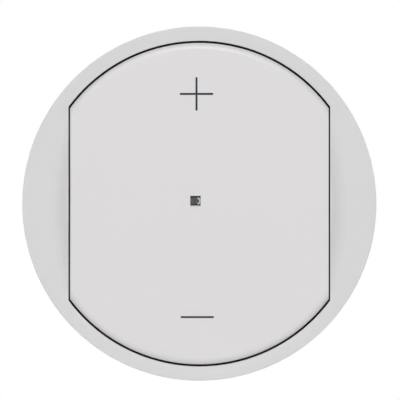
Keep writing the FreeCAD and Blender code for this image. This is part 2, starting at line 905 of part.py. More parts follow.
def make_light_guide():
    """Square guide that carries the indicator's light through the rocker."""
    half = "window_size / 2"
    wide = f"({half} + guide_collar)"
    stem = block(
        "guide_stem",
        (f"indicator_x - {half}", f"indicator_x + {half}"),
        (f"{APEX} + guide_sink", GUIDE_BACK),
        (f"indicator_height - {half}", f"indicator_height + {half}"),
    )
    collar = block(
        "guide_collar_plate",
        (f"indicator_x - {wide}", f"indicator_x + {wide}"),
        (ROCKER_UNDER, f"{ROCKER_UNDER} + guide_collar_thick"),
        (f"indicator_height - {wide}", f"indicator_height + {wide}"),
    )
    return fused("light_guide", [stem, collar])


# Housing halves
def corner_circles(sketch, radius):
    """Draw a circle about each housing screw."""
    for across, upward in HALF_CORNERS:
        draw_circle(sketch, radius, signed(across, SCREW_AT), signed(upward, SCREW_AT))


def press_circles(sketch, radius):
    """Draw a circle about each plunger."""
    for side in (1, -1):
        draw_circle(sketch, radius, "0", signed(side, "press_height"))


def make_front_housing():
    """Front half with the flange, the plunger wells, the screw tubes and the board posts."""
    front = new_body("front_housing")
    well = "head_radius + head_fit"
    tube = "screw_radius + screw_fit"
    lip_corner = "housing_corner - housing_wall - lip_fit"

    def boss(sketch):
        draw_rounded_square(sketch, "boss_half", "boss_corner")

    def flange(sketch):
        draw_rounded_square(sketch, "flange_half", "flange_corner")

    def step(sketch):
        draw_rounded_square(sketch, "housing_half", "housing_corner")

    def seats(sketch):
        outer = "(flange_half - seat_inset)"
        for side in (1, -1):
            near, far = signed(side, f"{outer} - seat_width"), signed(side, outer)
            draw_box(sketch, "-seat_half_length", "seat_half_length", near, far)

    def lip(sketch):
        draw_rounded_square(sketch, LIP_OUTSIDE, lip_corner)

    def room(sketch):
        draw_rounded_square(sketch, LIP_INSIDE, f"{lip_corner} - lip_wall")

    def board_posts(sketch):
        for across, upward in HALF_CORNERS:
            draw_circle(
                sketch, "board_post_radius", signed(across, BOARD_POST_X), signed(upward, "board_post_z")
            )

    def leg_windows(sketch):
        for across, upward in HALF_CORNERS:
            x = signed(across, "leg_x")
            low, high = f"{LEG_INSIDE} - barb_reach - leg_fit", f"{LEG_OUTSIDE} + leg_fit"
            if upward < 0:
                low, high = f"-({high})", f"-({low})"
            wide = "(leg_width / 2 + leg_fit)"
            draw_box(sketch, f"{x} - {wide}", f"{x} + {wide}", low, high)

    extruded(front, "Boss", PLATE_FRONT, FLANGE_BACK, boss)
    extruded(front, "Flange", FLANGE_FRONT, FLANGE_BACK, flange)
    rim = value("flange_half")

    def on_rim(edge):
        box = edge.BoundBox
        return box.YLength < 1e-6 and max(box.XMax, -box.XMin, box.ZMax, -box.ZMin) > rim - 1e-3

    rounded(front, "FlangeRounds", "flange_round", on_rim)
    extruded(front, "Step", FLANGE_BACK, "0", step)
    extruded(front, "Seats", FLANGE_BACK, "0", seats)
    extruded(front, "Lip", "0", "lip_length", lip)
    cut_away(front, "Room", PLATE_BACK, "lip_length", room)
    extruded(front, "Wells", PLATE_BACK, WELL_BACK, lambda s: press_circles(s, f"{well} + well_wall"))
    around_tube = f"{tube} + screw_tube_wall"
    extruded(front, "ScrewTubes", PLATE_BACK, "lip_length", lambda s: corner_circles(s, around_tube))
    extruded(front, "BoardPosts", PLATE_BACK, CONTROL_FRONT, board_posts)
    cut_away(front, "WellBores", PLATE_FRONT, WELL_FLOOR, lambda s: press_circles(s, well))
    cut_away(front, "PinHoles", WELL_FLOOR, WELL_BACK, lambda s: press_circles(s, "pin_radius + pin_fit"))
    cut_away(front, "ScrewHoles", PLATE_BACK, "lip_length", lambda s: corner_circles(s, tube))
    head_room = "screw_head_radius + screw_head_room"
    cut_away(front, "HeadRooms", PLATE_FRONT, PLATE_BACK, lambda s: corner_circles(s, head_room))
    cut_away(
        front,
        "LedHole",
        PLATE_FRONT,
        PLATE_BACK,
        lambda s: draw_circle(s, "led_radius + led_fit", "indicator_x", "indicator_height"),
    )
    cut_away(front, "LegWindows", PLATE_FRONT, PLATE_BACK, leg_windows)
    return front


WIRE_Z = f"(-({INSIDE_HALF} - bore_inset))"
BUTTON_Z = f"(-({INSIDE_HALF} - button_inset))"
BAR_LOW = f"(-({INSIDE_HALF} - bar_inset))"
CHAMBER_TOP = f"(-({INSIDE_HALF} - chamber_inset))"
TERMINALS = {"line": -1, "load": 0, "aux": 1}
SCREW_BOSS_FRONT = "(lip_length + screw_boss_gap)"
SCREW_BOSS_BACK = f"({SCREW_BOSS_FRONT} + screw_boss_length)"
SCREW_TIP = f"({SCREW_BOSS_BACK} - screw_tip_gap)"


def terminal_x(place):
    """Give the middle of a terminal across the face."""
    return f"({place} * terminal_pitch)"


# Vents above the heat sink, counted from the middle one
VENT_PLACES = (-3, -2, -1, 0, 1, 2, 3)


def make_rear_housing():
    """Deep rear half with screw bosses, board ledges, terminal chambers and clip slots."""
    rear = new_body("rear_housing")

    def outside(sketch):
        draw_rounded_square(sketch, "housing_half", "housing_corner")

    def inside(sketch):
        draw_rounded_square(sketch, INSIDE_HALF, "housing_corner - housing_wall")

    def ledges(sketch):
        inner = f"({INSIDE_HALF} - ledge_width)"
        root = f"({INSIDE_HALF} + housing_wall / 2)"
        draw_box(sketch, inner, root, "-ledge_half", "ledge_half")
        draw_box(sketch, f"-{root}", f"-{inner}", "-ledge_half", "ledge_half")

    def wire_circles(radius):
        def draw(sketch):
            for place in TERMINALS.values():
                draw_circle(sketch, radius, terminal_x(place), WIRE_Z)
        return draw

    def button_holes(sketch):
        wide = "(button_wide / 2 + button_fit)"
        tall = "(button_tall / 2 + button_fit)"
        for place in TERMINALS.values():
            x = terminal_x(place)
            draw_box(
                sketch, f"{x} - {wide}", f"{x} + {wide}", f"{BUTTON_Z} - {tall}", f"{BUTTON_Z} + {tall}"
            )

    def clip_slots(sketch):
        inner = "(housing_half - clip_hook - clip_fit)"
        outer = "(housing_half + housing_wall / 2)"
        tall = "(clip_half_width + clip_fit)"
        draw_box(sketch, inner, outer, f"-{tall}", tall)
        draw_box(sketch, f"-{outer}", f"-{inner}", f"-{tall}", tall)

    def chamber_walls(sketch):
        half = "(chamber_wall / 2)"
        root = f"(-{INSIDE_HALF} - housing_wall / 2)"
        for place in (-1.5, -0.5, 0.5, 1.5):
            x = terminal_x(place)
            draw_box(sketch, f"{x} - {half}", f"{x} + {half}", root, f"{CHAMBER_TOP} + {half}")

    def chamber_tops(sketch):
        reach = "(1.5 * terminal_pitch)"
        draw_box(sketch, f"-{reach}", reach, CHAMBER_TOP, f"{CHAMBER_TOP} + chamber_wall")

    back = value(HOUSING_BACK)
    extruded(rear, "Outside", "0", HOUSING_BACK, outside)
    rounded(rear, "BackRounds", "back_round", lambda edge: edge.BoundBox.YMin > back - 1e-6)
    cut_away(rear, "Inside", "0", BACK_INSIDE, inside)

    def bosses(sketch):
        corner_circles(sketch, "screw_boss_radius")

    extruded(rear, "ScrewBosses", SCREW_BOSS_FRONT, SCREW_BOSS_BACK, bosses)
    extruded(rear, "Ledges", POWER_BACK, BACK_INSIDE, ledges)
    root = f"({BACK_INSIDE} + back_wall / 2)"
    chamber_front = f"({POWER_BACK} + chamber_gap)"
    extruded(rear, "ChamberWalls", chamber_front, root, chamber_walls)
    extruded(rear, "ChamberTops", chamber_front, root, chamber_tops)
    extruded(rear, "WireTubes", BORE_FRONT, root, wire_circles("bore_radius + bore_wall"))
    cut_away(rear, "WireBores", BORE_FRONT, HOUSING_BACK, wire_circles("bore_radius"))
    bore = 2 * value("bore_radius")

    def at_bore_mouth(edge):
        return edge.BoundBox.YMin > back - 1e-6 and abs(edge.BoundBox.XLength - bore) < 1e-3

    bevelled(rear, "BoreLeads", "bore_lead", at_bore_mouth)
    cut_away(rear, "ButtonHoles", BACK_INSIDE, HOUSING_BACK, button_holes)
    thread = "screw_radius + thread_fit"
    cut_away(rear, "ScrewBores", SCREW_BOSS_FRONT, SCREW_BOSS_BACK, lambda s: corner_circles(s, thread))
    cut_away(rear, "ClipSlots", "clip_length - clip_thick - clip_fit", "clip_length + clip_fit", clip_slots)

    def panel(sketch):
        draw_box(sketch, "-panel_half", "panel_half", "panel_low", "panel_high")

    cut_away(rear, "Panel", f"{HOUSING_BACK} - panel_depth", HOUSING_BACK, panel)
    panel_half = value("panel_half")

    def in_panel_corner(edge):
        box = edge.BoundBox
        along = box.XLength < 1e-6 and box.ZLength < 1e-6 and box.YMax > back - 1e-6
        return along and abs(abs(box.XMin) - panel_half) < 1e-6

    rounded(rear, "PanelCorners", "panel_corner", in_panel_corner)
    vent_back = f"({HOUSING_BACK} - vent_inset)"
    vent_sketch = sketch_on(rear, "VentSketch", "XY_Plane", "housing_half")
    for place in VENT_PLACES:
        across = centred(f"({place} * vent_pitch)", "vent_width / 2")
        draw_box(vent_sketch, *across, f"{vent_back} - vent_length", vent_back)
    vents = rear.newObject("PartDesign::Pocket", "Vents")
    vents.Profile = vent_sketch
    bind(vents, "Length", "housing_wall")
    return rear


def make_housing_screws():
    """Four screws from the front plate into the rear bosses, with cross slots."""
    screws = []
    for number, (across, upward) in enumerate(HALF_CORNERS, start=1):
        x, z = signed(across, SCREW_AT), signed(upward, SCREW_AT)
        name = f"screw_{number}"
        head = rod(f"{name}_head", "screw_head_radius", PLATE_FRONT, PLATE_BACK, x, z)
        shank = rod(f"{name}_shank", "screw_radius", PLATE_BACK, SCREW_TIP, x, z)
        depth = (PLATE_FRONT, f"{PLATE_FRONT} + screw_slot_depth")
        long, thin = "(screw_head_radius - screw_slot_margin)", "screw_slot_width / 2"
        level = block(f"{name}_level_slot", centred(x, long), depth, centred(z, thin))
        upright = block(f"{name}_upright_slot", centred(x, thin), depth, centred(z, long))
        slot = fused(f"{name}_slot", [level, upright])
        screws.append(cut(name, fused(f"{name}_blank", [head, shank]), slot))
    return group("housing_screws", screws)


def make_support_clips():
    """Two bent steel leaves that grip behind the wall support."""
    clip = new_body("right_clip")
    sketch = sketch_on(clip, "ClipSketch", "XY_Plane", "-clip_half_width")
    outside = "(housing_half + clip_thick)"
    tip = f"({outside} + clip_reach)"
    draw_outline(
        sketch,
        [
            ("housing_half", "0"),
            (outside, "0"),
            (outside, "clip_root"),
            (f"{tip} - clip_thick", "clip_grip"),
            (tip, "clip_grip"),
            (outside, "clip_root + clip_root_long"),
            (outside, "clip_length"),
            ("housing_half - clip_hook", "clip_length"),
            ("housing_half - clip_hook", "clip_length - clip_thick"),
            ("housing_half", "clip_length - clip_thick"),
        ],
    )
    leaf = clip.newObject("PartDesign::Pad", "Leaf")
    leaf.Profile = sketch
    bind(leaf, "Length", "2 * clip_half_width")
    other = DOC.addObject("Part::Mirroring", "left_clip")
    other.Source = clip
    other.Normal = FreeCAD.Vector(1, 0, 0)
    return group("support_clips", [clip, other])


# Plungers
def make_plunger(name, side):
    """Plunger that carries the rocker's press through its well, with a catch behind the floor."""
    plunger = new_body(name)
    catch_back = PIN_BACK
    catch_front = f"({PIN_BACK} - catch_length)"
    turned(
        plunger,
        "PlungerProfile",
        [
            ("0", HEAD_FRONT),
            ("head_radius", HEAD_FRONT),
            ("head_radius", HEAD_BACK),
            ("pin_radius", HEAD_BACK),
            ("pin_radius", catch_front),
            ("catch_radius", catch_front),
            ("pin_radius", catch_back),
            ("0", catch_back),
        ],
        z=signed(side, "press_height"),
    )
    return plunger


# Turns of a coil spring that share one face
TURNS_PER_FACE = 1


def make_plunger_spring(name, side):
    """Coil spring between a plunger's head and its well's floor."""
    coil = DOC.addObject("Part::Helix", name + "_path")
    wire = DOC.addObject("Part::Circle", name + "_wire")
    height = f"({WELL_FLOOR} - {HEAD_BACK} - 2 * spring_wire)"
    bind(coil, "Radius", "spring_radius")
    bind(coil, "Height", height)
    bind(coil, "Pitch", f"{height} / spring_turns")
    coil.SegmentLength = TURNS_PER_FACE
    bind(wire, "Radius", "spring_wire")
    wire.Placement.Rotation = FreeCAD.Rotation(FreeCAD.Vector(1, 0, 0), 90)
    bind(wire, ".Placement.Base.x", "spring_radius")
    spring = DOC.addObject("Part::Sweep", name)
    spring.Sections = [wire]
    spring.Spine = (coil, [])
    spring.Solid = True
    spring.Frenet = True
    spring.Placement.Rotation = FreeCAD.Rotation(FreeCAD.Vector(1, 0, 0), -90)
    bind(spring, ".Placement.Base.y", f"{HEAD_BACK} + spring_wire")
    bind(spring, ".Placement.Base.z", signed(side, "press_height"))
    return spring


# Boards and what they carry
def make_board(name, half, front, back):
    """Square circuit board with its corners cut out around the screw bosses."""
    board = new_body(name)
    notch = f"({SCREW_AT} - screw_boss_radius - notch_room)"
    corners = [
        (f"-{notch}", f"-{half}"), (notch, f"-{half}"), (notch, f"-{notch}"), (half, f"-{notch}"),
        (half, notch), (notch, notch), (notch, half), (f"-{notch}", half),
        (f"-{notch}", notch), (f"-{half}", notch), (f"-{half}", f"-{notch}"), (f"-{notch}", f"-{notch}"),
    ]
    extruded(board, name.title().replace("_", ""), front, back, lambda s: draw_outline(s, corners))
    return board


def make_tact_switch(name, side):
    """Case and steel lid of a tact switch on the control board."""
    z = signed(side, "press_height")
    across, upward = centred("0", "switch_half"), centred(z, "switch_half")
    lid_back = f"{SWITCH_FRONT} + switch_lid"
    case = block(name + "_case", across, (lid_back, CONTROL_FRONT), upward)
    plate = block(name + "_plate", across, (SWITCH_FRONT, lid_back), upward)
    hole = rod(name + "_hole", "stem_radius", SWITCH_FRONT, lid_back, "0", z)
    return group(name, [case, cut(name + "_lid", plate, hole)])


def make_tact_stem(name, side):
    """Stem of a tact switch, which stands on the switch's case."""
    z = signed(side, "press_height")
    return rod(name, "stem_radius", STEM_FRONT, f"{SWITCH_FRONT} + switch_lid", "0", z)


def make_indicator_led():
    """Round lamp behind the light guide."""
    led = new_body("indicator_led")
    shoulder = f"({LED_BACK} - led_rim_thick)"
    turned(
        led,
        "LedProfile",
        [
            ("0", LED_FRONT),
            ("led_radius", f"{LED_FRONT} + led_radius"),
            ("led_radius", shoulder),
            ("led_radius + led_rim", shoulder),
            ("led_radius + led_rim", LED_BACK),
            ("0", LED_BACK),
        ],
        {0: ("led_radius", 1)},
        x="indicator_x",
        z="indicator_height",
    )
    return led


def make_led_leads():
    """Two wires from the lamp to the control board."""
    leads = []
    for side in (1, -1):
        x = f"(indicator_x + {signed(side, 'lead_pitch / 2')})"
        leads.append(
            block(
                f"led_lead_{len(leads) + 1}",
                centred(x, "lead_width / 2"),
                (LED_BACK, CONTROL_FRONT),
                centred("indicator_height", "lead_width / 2"),
            )
        )
    return group("led_leads", leads)


def make_led_holder():
    """Tube that stands on the control board and carries the lamp."""
    place = ("indicator_x", "indicator_height")
    tube = rod("holder_tube", "led_radius + led_rim + holder_rim", LED_BACK, CONTROL_FRONT, *place)
    bore = rod("holder_bore", "(lead_pitch + lead_width) / 2 + holder_fit", LED_BACK, CONTROL_FRONT, *place)
    return cut("led_holder", tube, bore)


def make_control_chip():
    """Control chip on the front of the control board."""
    return block(
        "control_chip",
        centred("chip_x", "chip_wide / 2"),
        (f"{CONTROL_FRONT} - chip_height", CONTROL_FRONT),
        centred("chip_z", "chip_long / 2"),
    )


def make_chip_feet():
    """Solder feet along both sides of the control chip."""
    feet = []
    for side in (1, -1):
        inner = signed(side, "chip_wide / 2")
        outer = signed(side, "(chip_wide / 2 + chip_feet)")
        low, high = (inner, outer) if side > 0 else (outer, inner)
        for step in (-1.5, -0.5, 0.5, 1.5):
            feet.append(
                block(
                    f"chip_foot_{len(feet) + 1}",
                    (f"chip_x + {low}", f"chip_x + {high}"),
                    (f"{CONTROL_FRONT} - chip_foot_thick", CONTROL_FRONT),
                    centred(f"(chip_z + {step} * chip_pitch)", "chip_foot_width / 2"),
                )
            )
    return group("chip_feet", feet)


def make_surface_parts():
    """Resistors and small capacitors in two rows on the control board."""
    parts = []
    for row in range(2):
        for column in range(4):
            parts.append(
                block(
                    f"surface_part_{len(parts) + 1}",
                    centred(f"(small_x + {column} * small_pitch)", "small_wide / 2"),
                    (f"{CONTROL_FRONT} - small_height", CONTROL_FRONT),
                    centred(f"(small_z - {row} * small_row)", "small_long / 2"),
                )
            )
    return group("surface_parts", parts)


def make_board_link():
    """Plastic body of the pin header between the two boards."""
    return block(
        "board_link",
        centred("0", "link_length / 2"),
        (f"{CONTROL_BACK} + link_pin_show", f"{POWER_FRONT} - link_pin_show"),
        centred("link_z", "link_width / 2"),
    )


def make_board_link_pins():
    """Pins of the header, visible at both ends of its body."""
    pins = []
    for step in range(-2, 3):
        across = centred(f"({step} * link_pitch)", "link_pin / 2")
        upward = centred("link_z", "link_pin / 2")
        for front, back in (
            (CONTROL_BACK, f"{CONTROL_BACK} + link_pin_show"),
            (f"{POWER_FRONT} - link_pin_show", POWER_FRONT),
        ):
            pins.append(block(f"link_pin_{len(pins) + 1}", across, (front, back), upward))
    return group("board_link_pins", pins)


def make_board_spacers():
    """Two spacers that keep the boards apart."""
    spacers = []
    for number, side in enumerate((1, -1), start=1):
        across = signed(side, "spacer_x")
        spacer = rod(f"spacer_{number}", "spacer_radius", CONTROL_BACK, POWER_FRONT, across, "-spacer_z")
        spacers.append(spacer)
    return group("board_spacers", spacers)


# Power parts
CORE_FRONT = f"({POWER_BACK} + wire_thick)"
CORE_BACK = f"({CORE_FRONT} + core_thick)"


def make_choke_core():
    """Ring core of the choke."""
    core = new_body("choke_core")
    turned(
        core,
        "CoreProfile",
        [
            ("core_inner", CORE_FRONT), ("core_outer", CORE_FRONT),
            ("core_outer", CORE_BACK), ("core_inner", CORE_BACK),
        ],
        x="choke_x",
        z="choke_z",
    )
    return core


def make_choke_winding():
    """Turns of wire about the choke's core, each a closed loop."""
    wire, fit = value("wire_thick"), value("wire_fit")
    inner, outer = value("core_inner") - fit, value("core_outer") + fit
    front, back = value(CORE_FRONT), value(CORE_BACK)
    hole = Part.makeBox(
        outer - inner, back - front, wire, FreeCAD.Vector(inner, front, -wire / 2)
    )
    loop = Part.makeBox(
        outer - inner + 2 * wire,
        back - front + 2 * wire,
        wire,
        FreeCAD.Vector(inner - wire, front - wire, -wire / 2),
    ).cut(hole)
    turns = int(value("choke_turns"))
    loops = []
    for number in range(turns):
        turn = loop.copy()
        turn.rotate(FreeCAD.Vector(), FreeCAD.Vector(0, 1, 0), 360 * number / turns)
        loops.append(turn)
    winding = DOC.addObject("Part::Feature", "choke_winding")
    winding.Shape = Part.makeCompound(loops)
    bind(winding, ".Placement.Base.x", "choke_x")
    bind(winding, ".Placement.Base.z", "choke_z")
    return winding


def make_filter_capacitor():
    """Box capacitor of the radio-noise filter."""
    right = f"({INSIDE_HALF} - filter_inset)"
    top = f"({INSIDE_HALF} - filter_top)"
    return block(
        "filter_capacitor",
        (f"{right} - filter_long", right),
        (POWER_BACK, f"{POWER_BACK} + filter_height"),
        (f"{top} - filter_wide", top),
    )


def make_smoothing_capacitor():
    """Can capacitor of the control supply."""
    back = f"{POWER_BACK} + smooth_height"
    z = f"({INSIDE_HALF} - smooth_inset)"
    return rod("smoothing_capacitor", "smooth_radius", POWER_BACK, back, "smooth_x", z)


def make_fuse():
    """Round fuse on the power board."""
    z = f"({INSIDE_HALF} - fuse_inset)"
    return rod("fuse", "fuse_radius", POWER_BACK, f"{POWER_BACK} + fuse_height", "fuse_x", z)


TAB_TOP = "(triac_low + triac_body + tab_long)"
BOLT_Z = f"({TAB_TOP} - tab_long / 2)"


def bolt_hole(name, front, back):
    """Make the clearance hole for the triac's screw."""
    return rod(name, "bolt_radius + bolt_fit", front, back, "triac_x", BOLT_Z)


def make_heat_sink():
    """Aluminium plate against the back wall."""
    left = f"(-{INSIDE_HALF} + sink_inset)"
    plate = block(
        "sink_plate",
        (left, f"{left} + sink_long"),
        (SINK_FRONT, BACK_INSIDE),
        ("sink_low", "sink_high"),
    )
    return cut("heat_sink", plate, bolt_hole("sink_hole", SINK_FRONT, BACK_INSIDE))


def make_insulating_pad():
    """Thin pad between the triac and its heat sink."""
    pad = block(
        "pad_plate",
        centred("triac_x", "(triac_wide / 2 + pad_margin)"),
        (PAD_FRONT, SINK_FRONT),
        ("triac_low - pad_margin", f"{TAB_TOP} + pad_margin"),
    )
    return cut("insulating_pad", pad, bolt_hole("pad_hole", PAD_FRONT, SINK_FRONT))


def make_triac():
    """Plastic case of the triac."""
    return block(
        "triac",
        centred("triac_x", "triac_wide / 2"),
        (TRIAC_FRONT, TAB_FRONT),
        ("triac_low", "triac_low + triac_body"),
    )


def make_triac_tab():
    """Metal tab of the triac."""
    plate = block(
        "tab_plate", centred("triac_x", "triac_wide / 2"), (TAB_FRONT, PAD_FRONT), ("triac_low", TAB_TOP)
    )
    return cut("triac_tab", plate, bolt_hole("tab_hole", TAB_FRONT, PAD_FRONT))


def make_triac_leads():
    """Three bent leads from the triac to the power board."""
    half = "triac_lead / 2"
    exit_back = f"({TRIAC_FRONT} + lead_rise)"
    exit_front = f"({exit_back} - lead_thick)"
    bottom = "(triac_low - lead_drop)"
    leads = []
    for step in (-1, 0, 1):
        across = centred(f"(triac_x + {step} * triac_pitch)", half)
        name = f"triac_lead_{len(leads) + 1}"
        drop = block(name + "_drop", across, (exit_front, exit_back), (bottom, "triac_low"))
        riser = block(name + "_riser", across, (POWER_BACK, exit_back), (bottom, f"{bottom} + lead_thick"))
        leads.append(fused(name, [drop, riser]))
    return group("triac_leads", leads)


def make_triac_screw():
    """Screw that clamps the triac to its heat sink."""
    head_front = f"{TAB_FRONT} - bolt_head_height"
    head = rod("bolt_head", "bolt_head_radius", head_front, TAB_FRONT, "triac_x", BOLT_Z)
    shank = rod("bolt_shank", "bolt_radius", TAB_FRONT, BACK_INSIDE, "triac_x", BOLT_Z)
    return fused("triac_screw", [head, shank])


# Wire terminals
BAR_INSIDE = f"({BAR_LOW} + bar_thick)"
BAR_BACK = f"({BORE_FRONT} - bar_gap)"
LEAF_TIP = f"({BAR_INSIDE} + leaf_gap)"
LEAF_BEND = f"({BORE_FRONT} - leaf_inset)"


def make_terminal_bar(name, place):
    """Brass bar that a wire is clamped against."""
    x = terminal_x(place)
    bar = block(
        name + "_plate",
        centred(x, "bar_width / 2"),
        (f"{POWER_BACK} + bar_gap", BAR_BACK),
        (BAR_LOW, BAR_INSIDE),
    )
    foot = block(
        name + "_foot",
        centred(x, "bar_foot / 2"),
        (POWER_BACK, f"{POWER_BACK} + bar_gap"),
        (BAR_LOW, BAR_INSIDE),
    )
    return fused(name, [bar, foot])


def make_terminal_spring(name, place):
    """Bent steel leaf that presses a wire against its bar."""
    run = f"({CHAMBER_TOP} - {LEAF_TIP})"
    length = f"sqrt(leaf_slant^2 + {run}^2)"
    shift_y = f"(leaf_thick * {run} / {length})"
    shift_z = f"(leaf_thick * leaf_slant / {length})"
    inner_bend = f"({LEAF_BEND} - {shift_y} - leaf_slant / {run} * (leaf_thick + {shift_z}))"
    leaf = new_body(name)
    sketch = across_sketch(leaf, name + "_sketch", f"{terminal_x(place)} - leaf_width / 2")
    start = f"({POWER_BACK} + leaf_start)"
    draw_outline(
        sketch,
        [
            (start, CHAMBER_TOP),
            (LEAF_BEND, CHAMBER_TOP),
            (f"{LEAF_BEND} - leaf_slant", LEAF_TIP),
            (f"{LEAF_BEND} - leaf_slant - {shift_y}", f"{LEAF_TIP} + {shift_z}"),
            (inner_bend, f"{CHAMBER_TOP} - leaf_thick"),
            (start, f"{CHAMBER_TOP} - leaf_thick"),
        ],
    )
    strip = leaf.newObject("PartDesign::Pad", name + "_strip")
    strip.Profile = sketch
    bind(strip, "Length", "leaf_width")
    return leaf


def make_release_button(name, place):
    """Button at the back that opens a terminal's leaf, kept in by its collar."""
    x = terminal_x(place)
    collar_back = f"({BACK_INSIDE} - button_rest)"
    collar_front = f"({collar_back} - button_collar_thick)"
    wide, tall = "(button_wide / 2)", "(button_tall / 2)"
    nose_top = f"({BUTTON_Z} + button_nose / 2)"
    leaf_there = f"({LEAF_BEND} - leaf_slant * ({CHAMBER_TOP} - {nose_top}) / ({CHAMBER_TOP} - {LEAF_TIP}))"
    shaft = block(
        name + "_shaft",
        centred(x, wide),
        (collar_back, f"{HOUSING_BACK} + button_out"),
        centred(BUTTON_Z, tall),
    )
    collar = block(
        name + "_collar",
        centred(x, f"({wide} + button_collar)"),
        (collar_front, collar_back),
        centred(BUTTON_Z, f"({tall} + button_collar)"),
    )
    nose = block(
        name + "_nose",
        centred(x, f"({wide} - button_collar)"),
        (f"{leaf_there} + nose_gap", collar_front),
        (f"{BUTTON_Z} - button_nose / 2", nose_top),
    )
    notch = block(
        name + "_notch",
        centred(x, f"({wide} + button_fit)"),
        (f"{HOUSING_BACK} + button_out - button_notch_depth", f"{HOUSING_BACK} + button_out"),
        centred(BUTTON_Z, "button_notch / 2"),
    )
    return cut(name, fused(name + "_blank", [shaft, collar, nose]), notch)


# Assembly
def make_all():
    """Make every sub-part, in order from the face to the back."""
    parts = [
        make_cover_ring(),
        make_cover_chassis(),
        make_rocker(),
        make_light_guide(),
        make_mark("plus_mark", plus_outline, PLUS_FLOOR),
        make_mark("minus_mark", minus_outline, MINUS_FLOOR),
        make_front_housing(),
        make_rear_housing(),
        make_housing_screws(),
        make_support_clips(),
        make_board("control_board", f"({INSIDE_HALF} - control_inset)", CONTROL_FRONT, CONTROL_BACK),
        make_board("power_board", f"({INSIDE_HALF} - board_fit)", POWER_FRONT, POWER_BACK),
    ]
    for word, side in (("plus", 1), ("minus", -1)):
        parts.append(make_plunger(f"plunger_{word}", side))
        parts.append(make_plunger_spring(f"plunger_spring_{word}", side))
        parts.append(make_tact_switch(f"tact_switch_{word}", side))
        parts.append(make_tact_stem(f"tact_stem_{word}", side))
    parts += [
        make_indicator_led(),
        make_led_leads(),
        make_led_holder(),
        make_control_chip(),
        make_chip_feet(),
        make_surface_parts(),
        make_board_link(),
        make_board_link_pins(),
        make_board_spacers(),
        make_choke_core(),
        make_choke_winding(),
        make_filter_capacitor(),
        make_smoothing_capacitor(),
        make_fuse(),
        make_heat_sink(),
        make_insulating_pad(),
        make_triac(),
        make_triac_tab(),
        make_triac_leads(),
        make_triac_screw(),
    ]
    for word, place in TERMINALS.items():
        parts.append(make_terminal_bar(f"terminal_bar_{word}", place))
        parts.append(make_terminal_spring(f"terminal_spring_{word}", place))
        parts.append(make_release_button(f"release_button_{word}", place))
    return parts


def write_parts(parts):
    """Check the whole document, then write each sub-part under its own name."""
    DOC.recompute()
    failed = [thing.Label for thing in DOC.Objects if {"Invalid", "Error"} & set(thing.State)]
    if failed:
        raise RuntimeError(f"failed objects: {failed}")
    for part in parts:
        if part.Shape.isNull() or not part.Shape.isValid() or not part.Shape.Solids:
            raise RuntimeError(f"{part.Label} has no valid solid")
    for part in parts:
        part.Shape.exportStep(f"parts/{part.Label}.step")
    print(f"wrote {len(parts)} parts")


write_parts(make_all())
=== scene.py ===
"""Dress the round dimmer switch insert for its studio picture.

Every length is in metres, in the frame of the solid model: X to the right seen from
the front, Y from the face back to the wall, Z up, with the origin on the axis of the
round cover in the plane of the wall support.
"""

from __future__ import annotations

import logging
import math
from dataclasses import dataclass, field
from enum import Enum
from typing import Any, Sequence, Union

import bmesh
import bpy
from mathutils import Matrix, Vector

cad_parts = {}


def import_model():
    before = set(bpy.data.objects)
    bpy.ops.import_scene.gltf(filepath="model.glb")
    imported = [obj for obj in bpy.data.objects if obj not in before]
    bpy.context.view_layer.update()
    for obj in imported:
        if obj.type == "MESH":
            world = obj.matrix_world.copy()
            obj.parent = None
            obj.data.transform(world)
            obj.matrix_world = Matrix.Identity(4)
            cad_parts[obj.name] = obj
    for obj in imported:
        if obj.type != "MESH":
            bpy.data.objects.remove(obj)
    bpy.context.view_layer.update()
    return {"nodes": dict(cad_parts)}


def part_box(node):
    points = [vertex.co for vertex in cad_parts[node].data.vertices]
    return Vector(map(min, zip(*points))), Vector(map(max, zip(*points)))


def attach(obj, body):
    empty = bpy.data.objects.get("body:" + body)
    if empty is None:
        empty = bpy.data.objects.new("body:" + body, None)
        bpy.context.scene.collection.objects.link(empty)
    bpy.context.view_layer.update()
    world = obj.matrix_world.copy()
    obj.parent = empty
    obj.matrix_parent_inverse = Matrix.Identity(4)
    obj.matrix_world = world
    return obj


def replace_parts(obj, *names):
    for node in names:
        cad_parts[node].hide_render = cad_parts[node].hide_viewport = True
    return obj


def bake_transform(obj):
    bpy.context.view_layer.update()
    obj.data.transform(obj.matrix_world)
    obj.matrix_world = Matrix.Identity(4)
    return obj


LOG = logging.getLogger("dimmer")
MM = 0.001

Colour = tuple[float, float, float]
Number = Union[int, float]


class Grain(Enum):
    """The grain of a moulded surface: the size, the detail and the height of its lumps."""

    POLISHED = (2.2 * MM, 2.0, 0.003 * MM)
    SATIN = (0.16 * MM, 3.0, 0.004 * MM)
    SPARKED = (0.12 * MM, 2.0, 0.016 * MM)


class Direction(Enum):
    """Which way the working marks run on a metal piece, as their fineness along each axis."""

    ACROSS = (1.0, 0.04, 1.0)
    UPWARD = (1.0, 1.0, 0.04)
    TURNED = (1.0, 1.0, 1.0)


def from_screen(red: int, green: int, blue: int) -> Colour:
    """Turn a colour read on a screen into linear light.

    Args:
        red: Red level from 0 to 255.
        green: Green level from 0 to 255.
        blue: Blue level from 0 to 255.

    Returns:
        The three levels as linear light from 0 to 1.
    """

    def linear(level: int) -> float:
        """Undo the screen's curve for one level."""
        part = level / 255.0
        return part / 12.92 if part <= 0.04045 else ((part + 0.055) / 1.055) ** 2.4

    return (linear(red), linear(green), linear(blue))


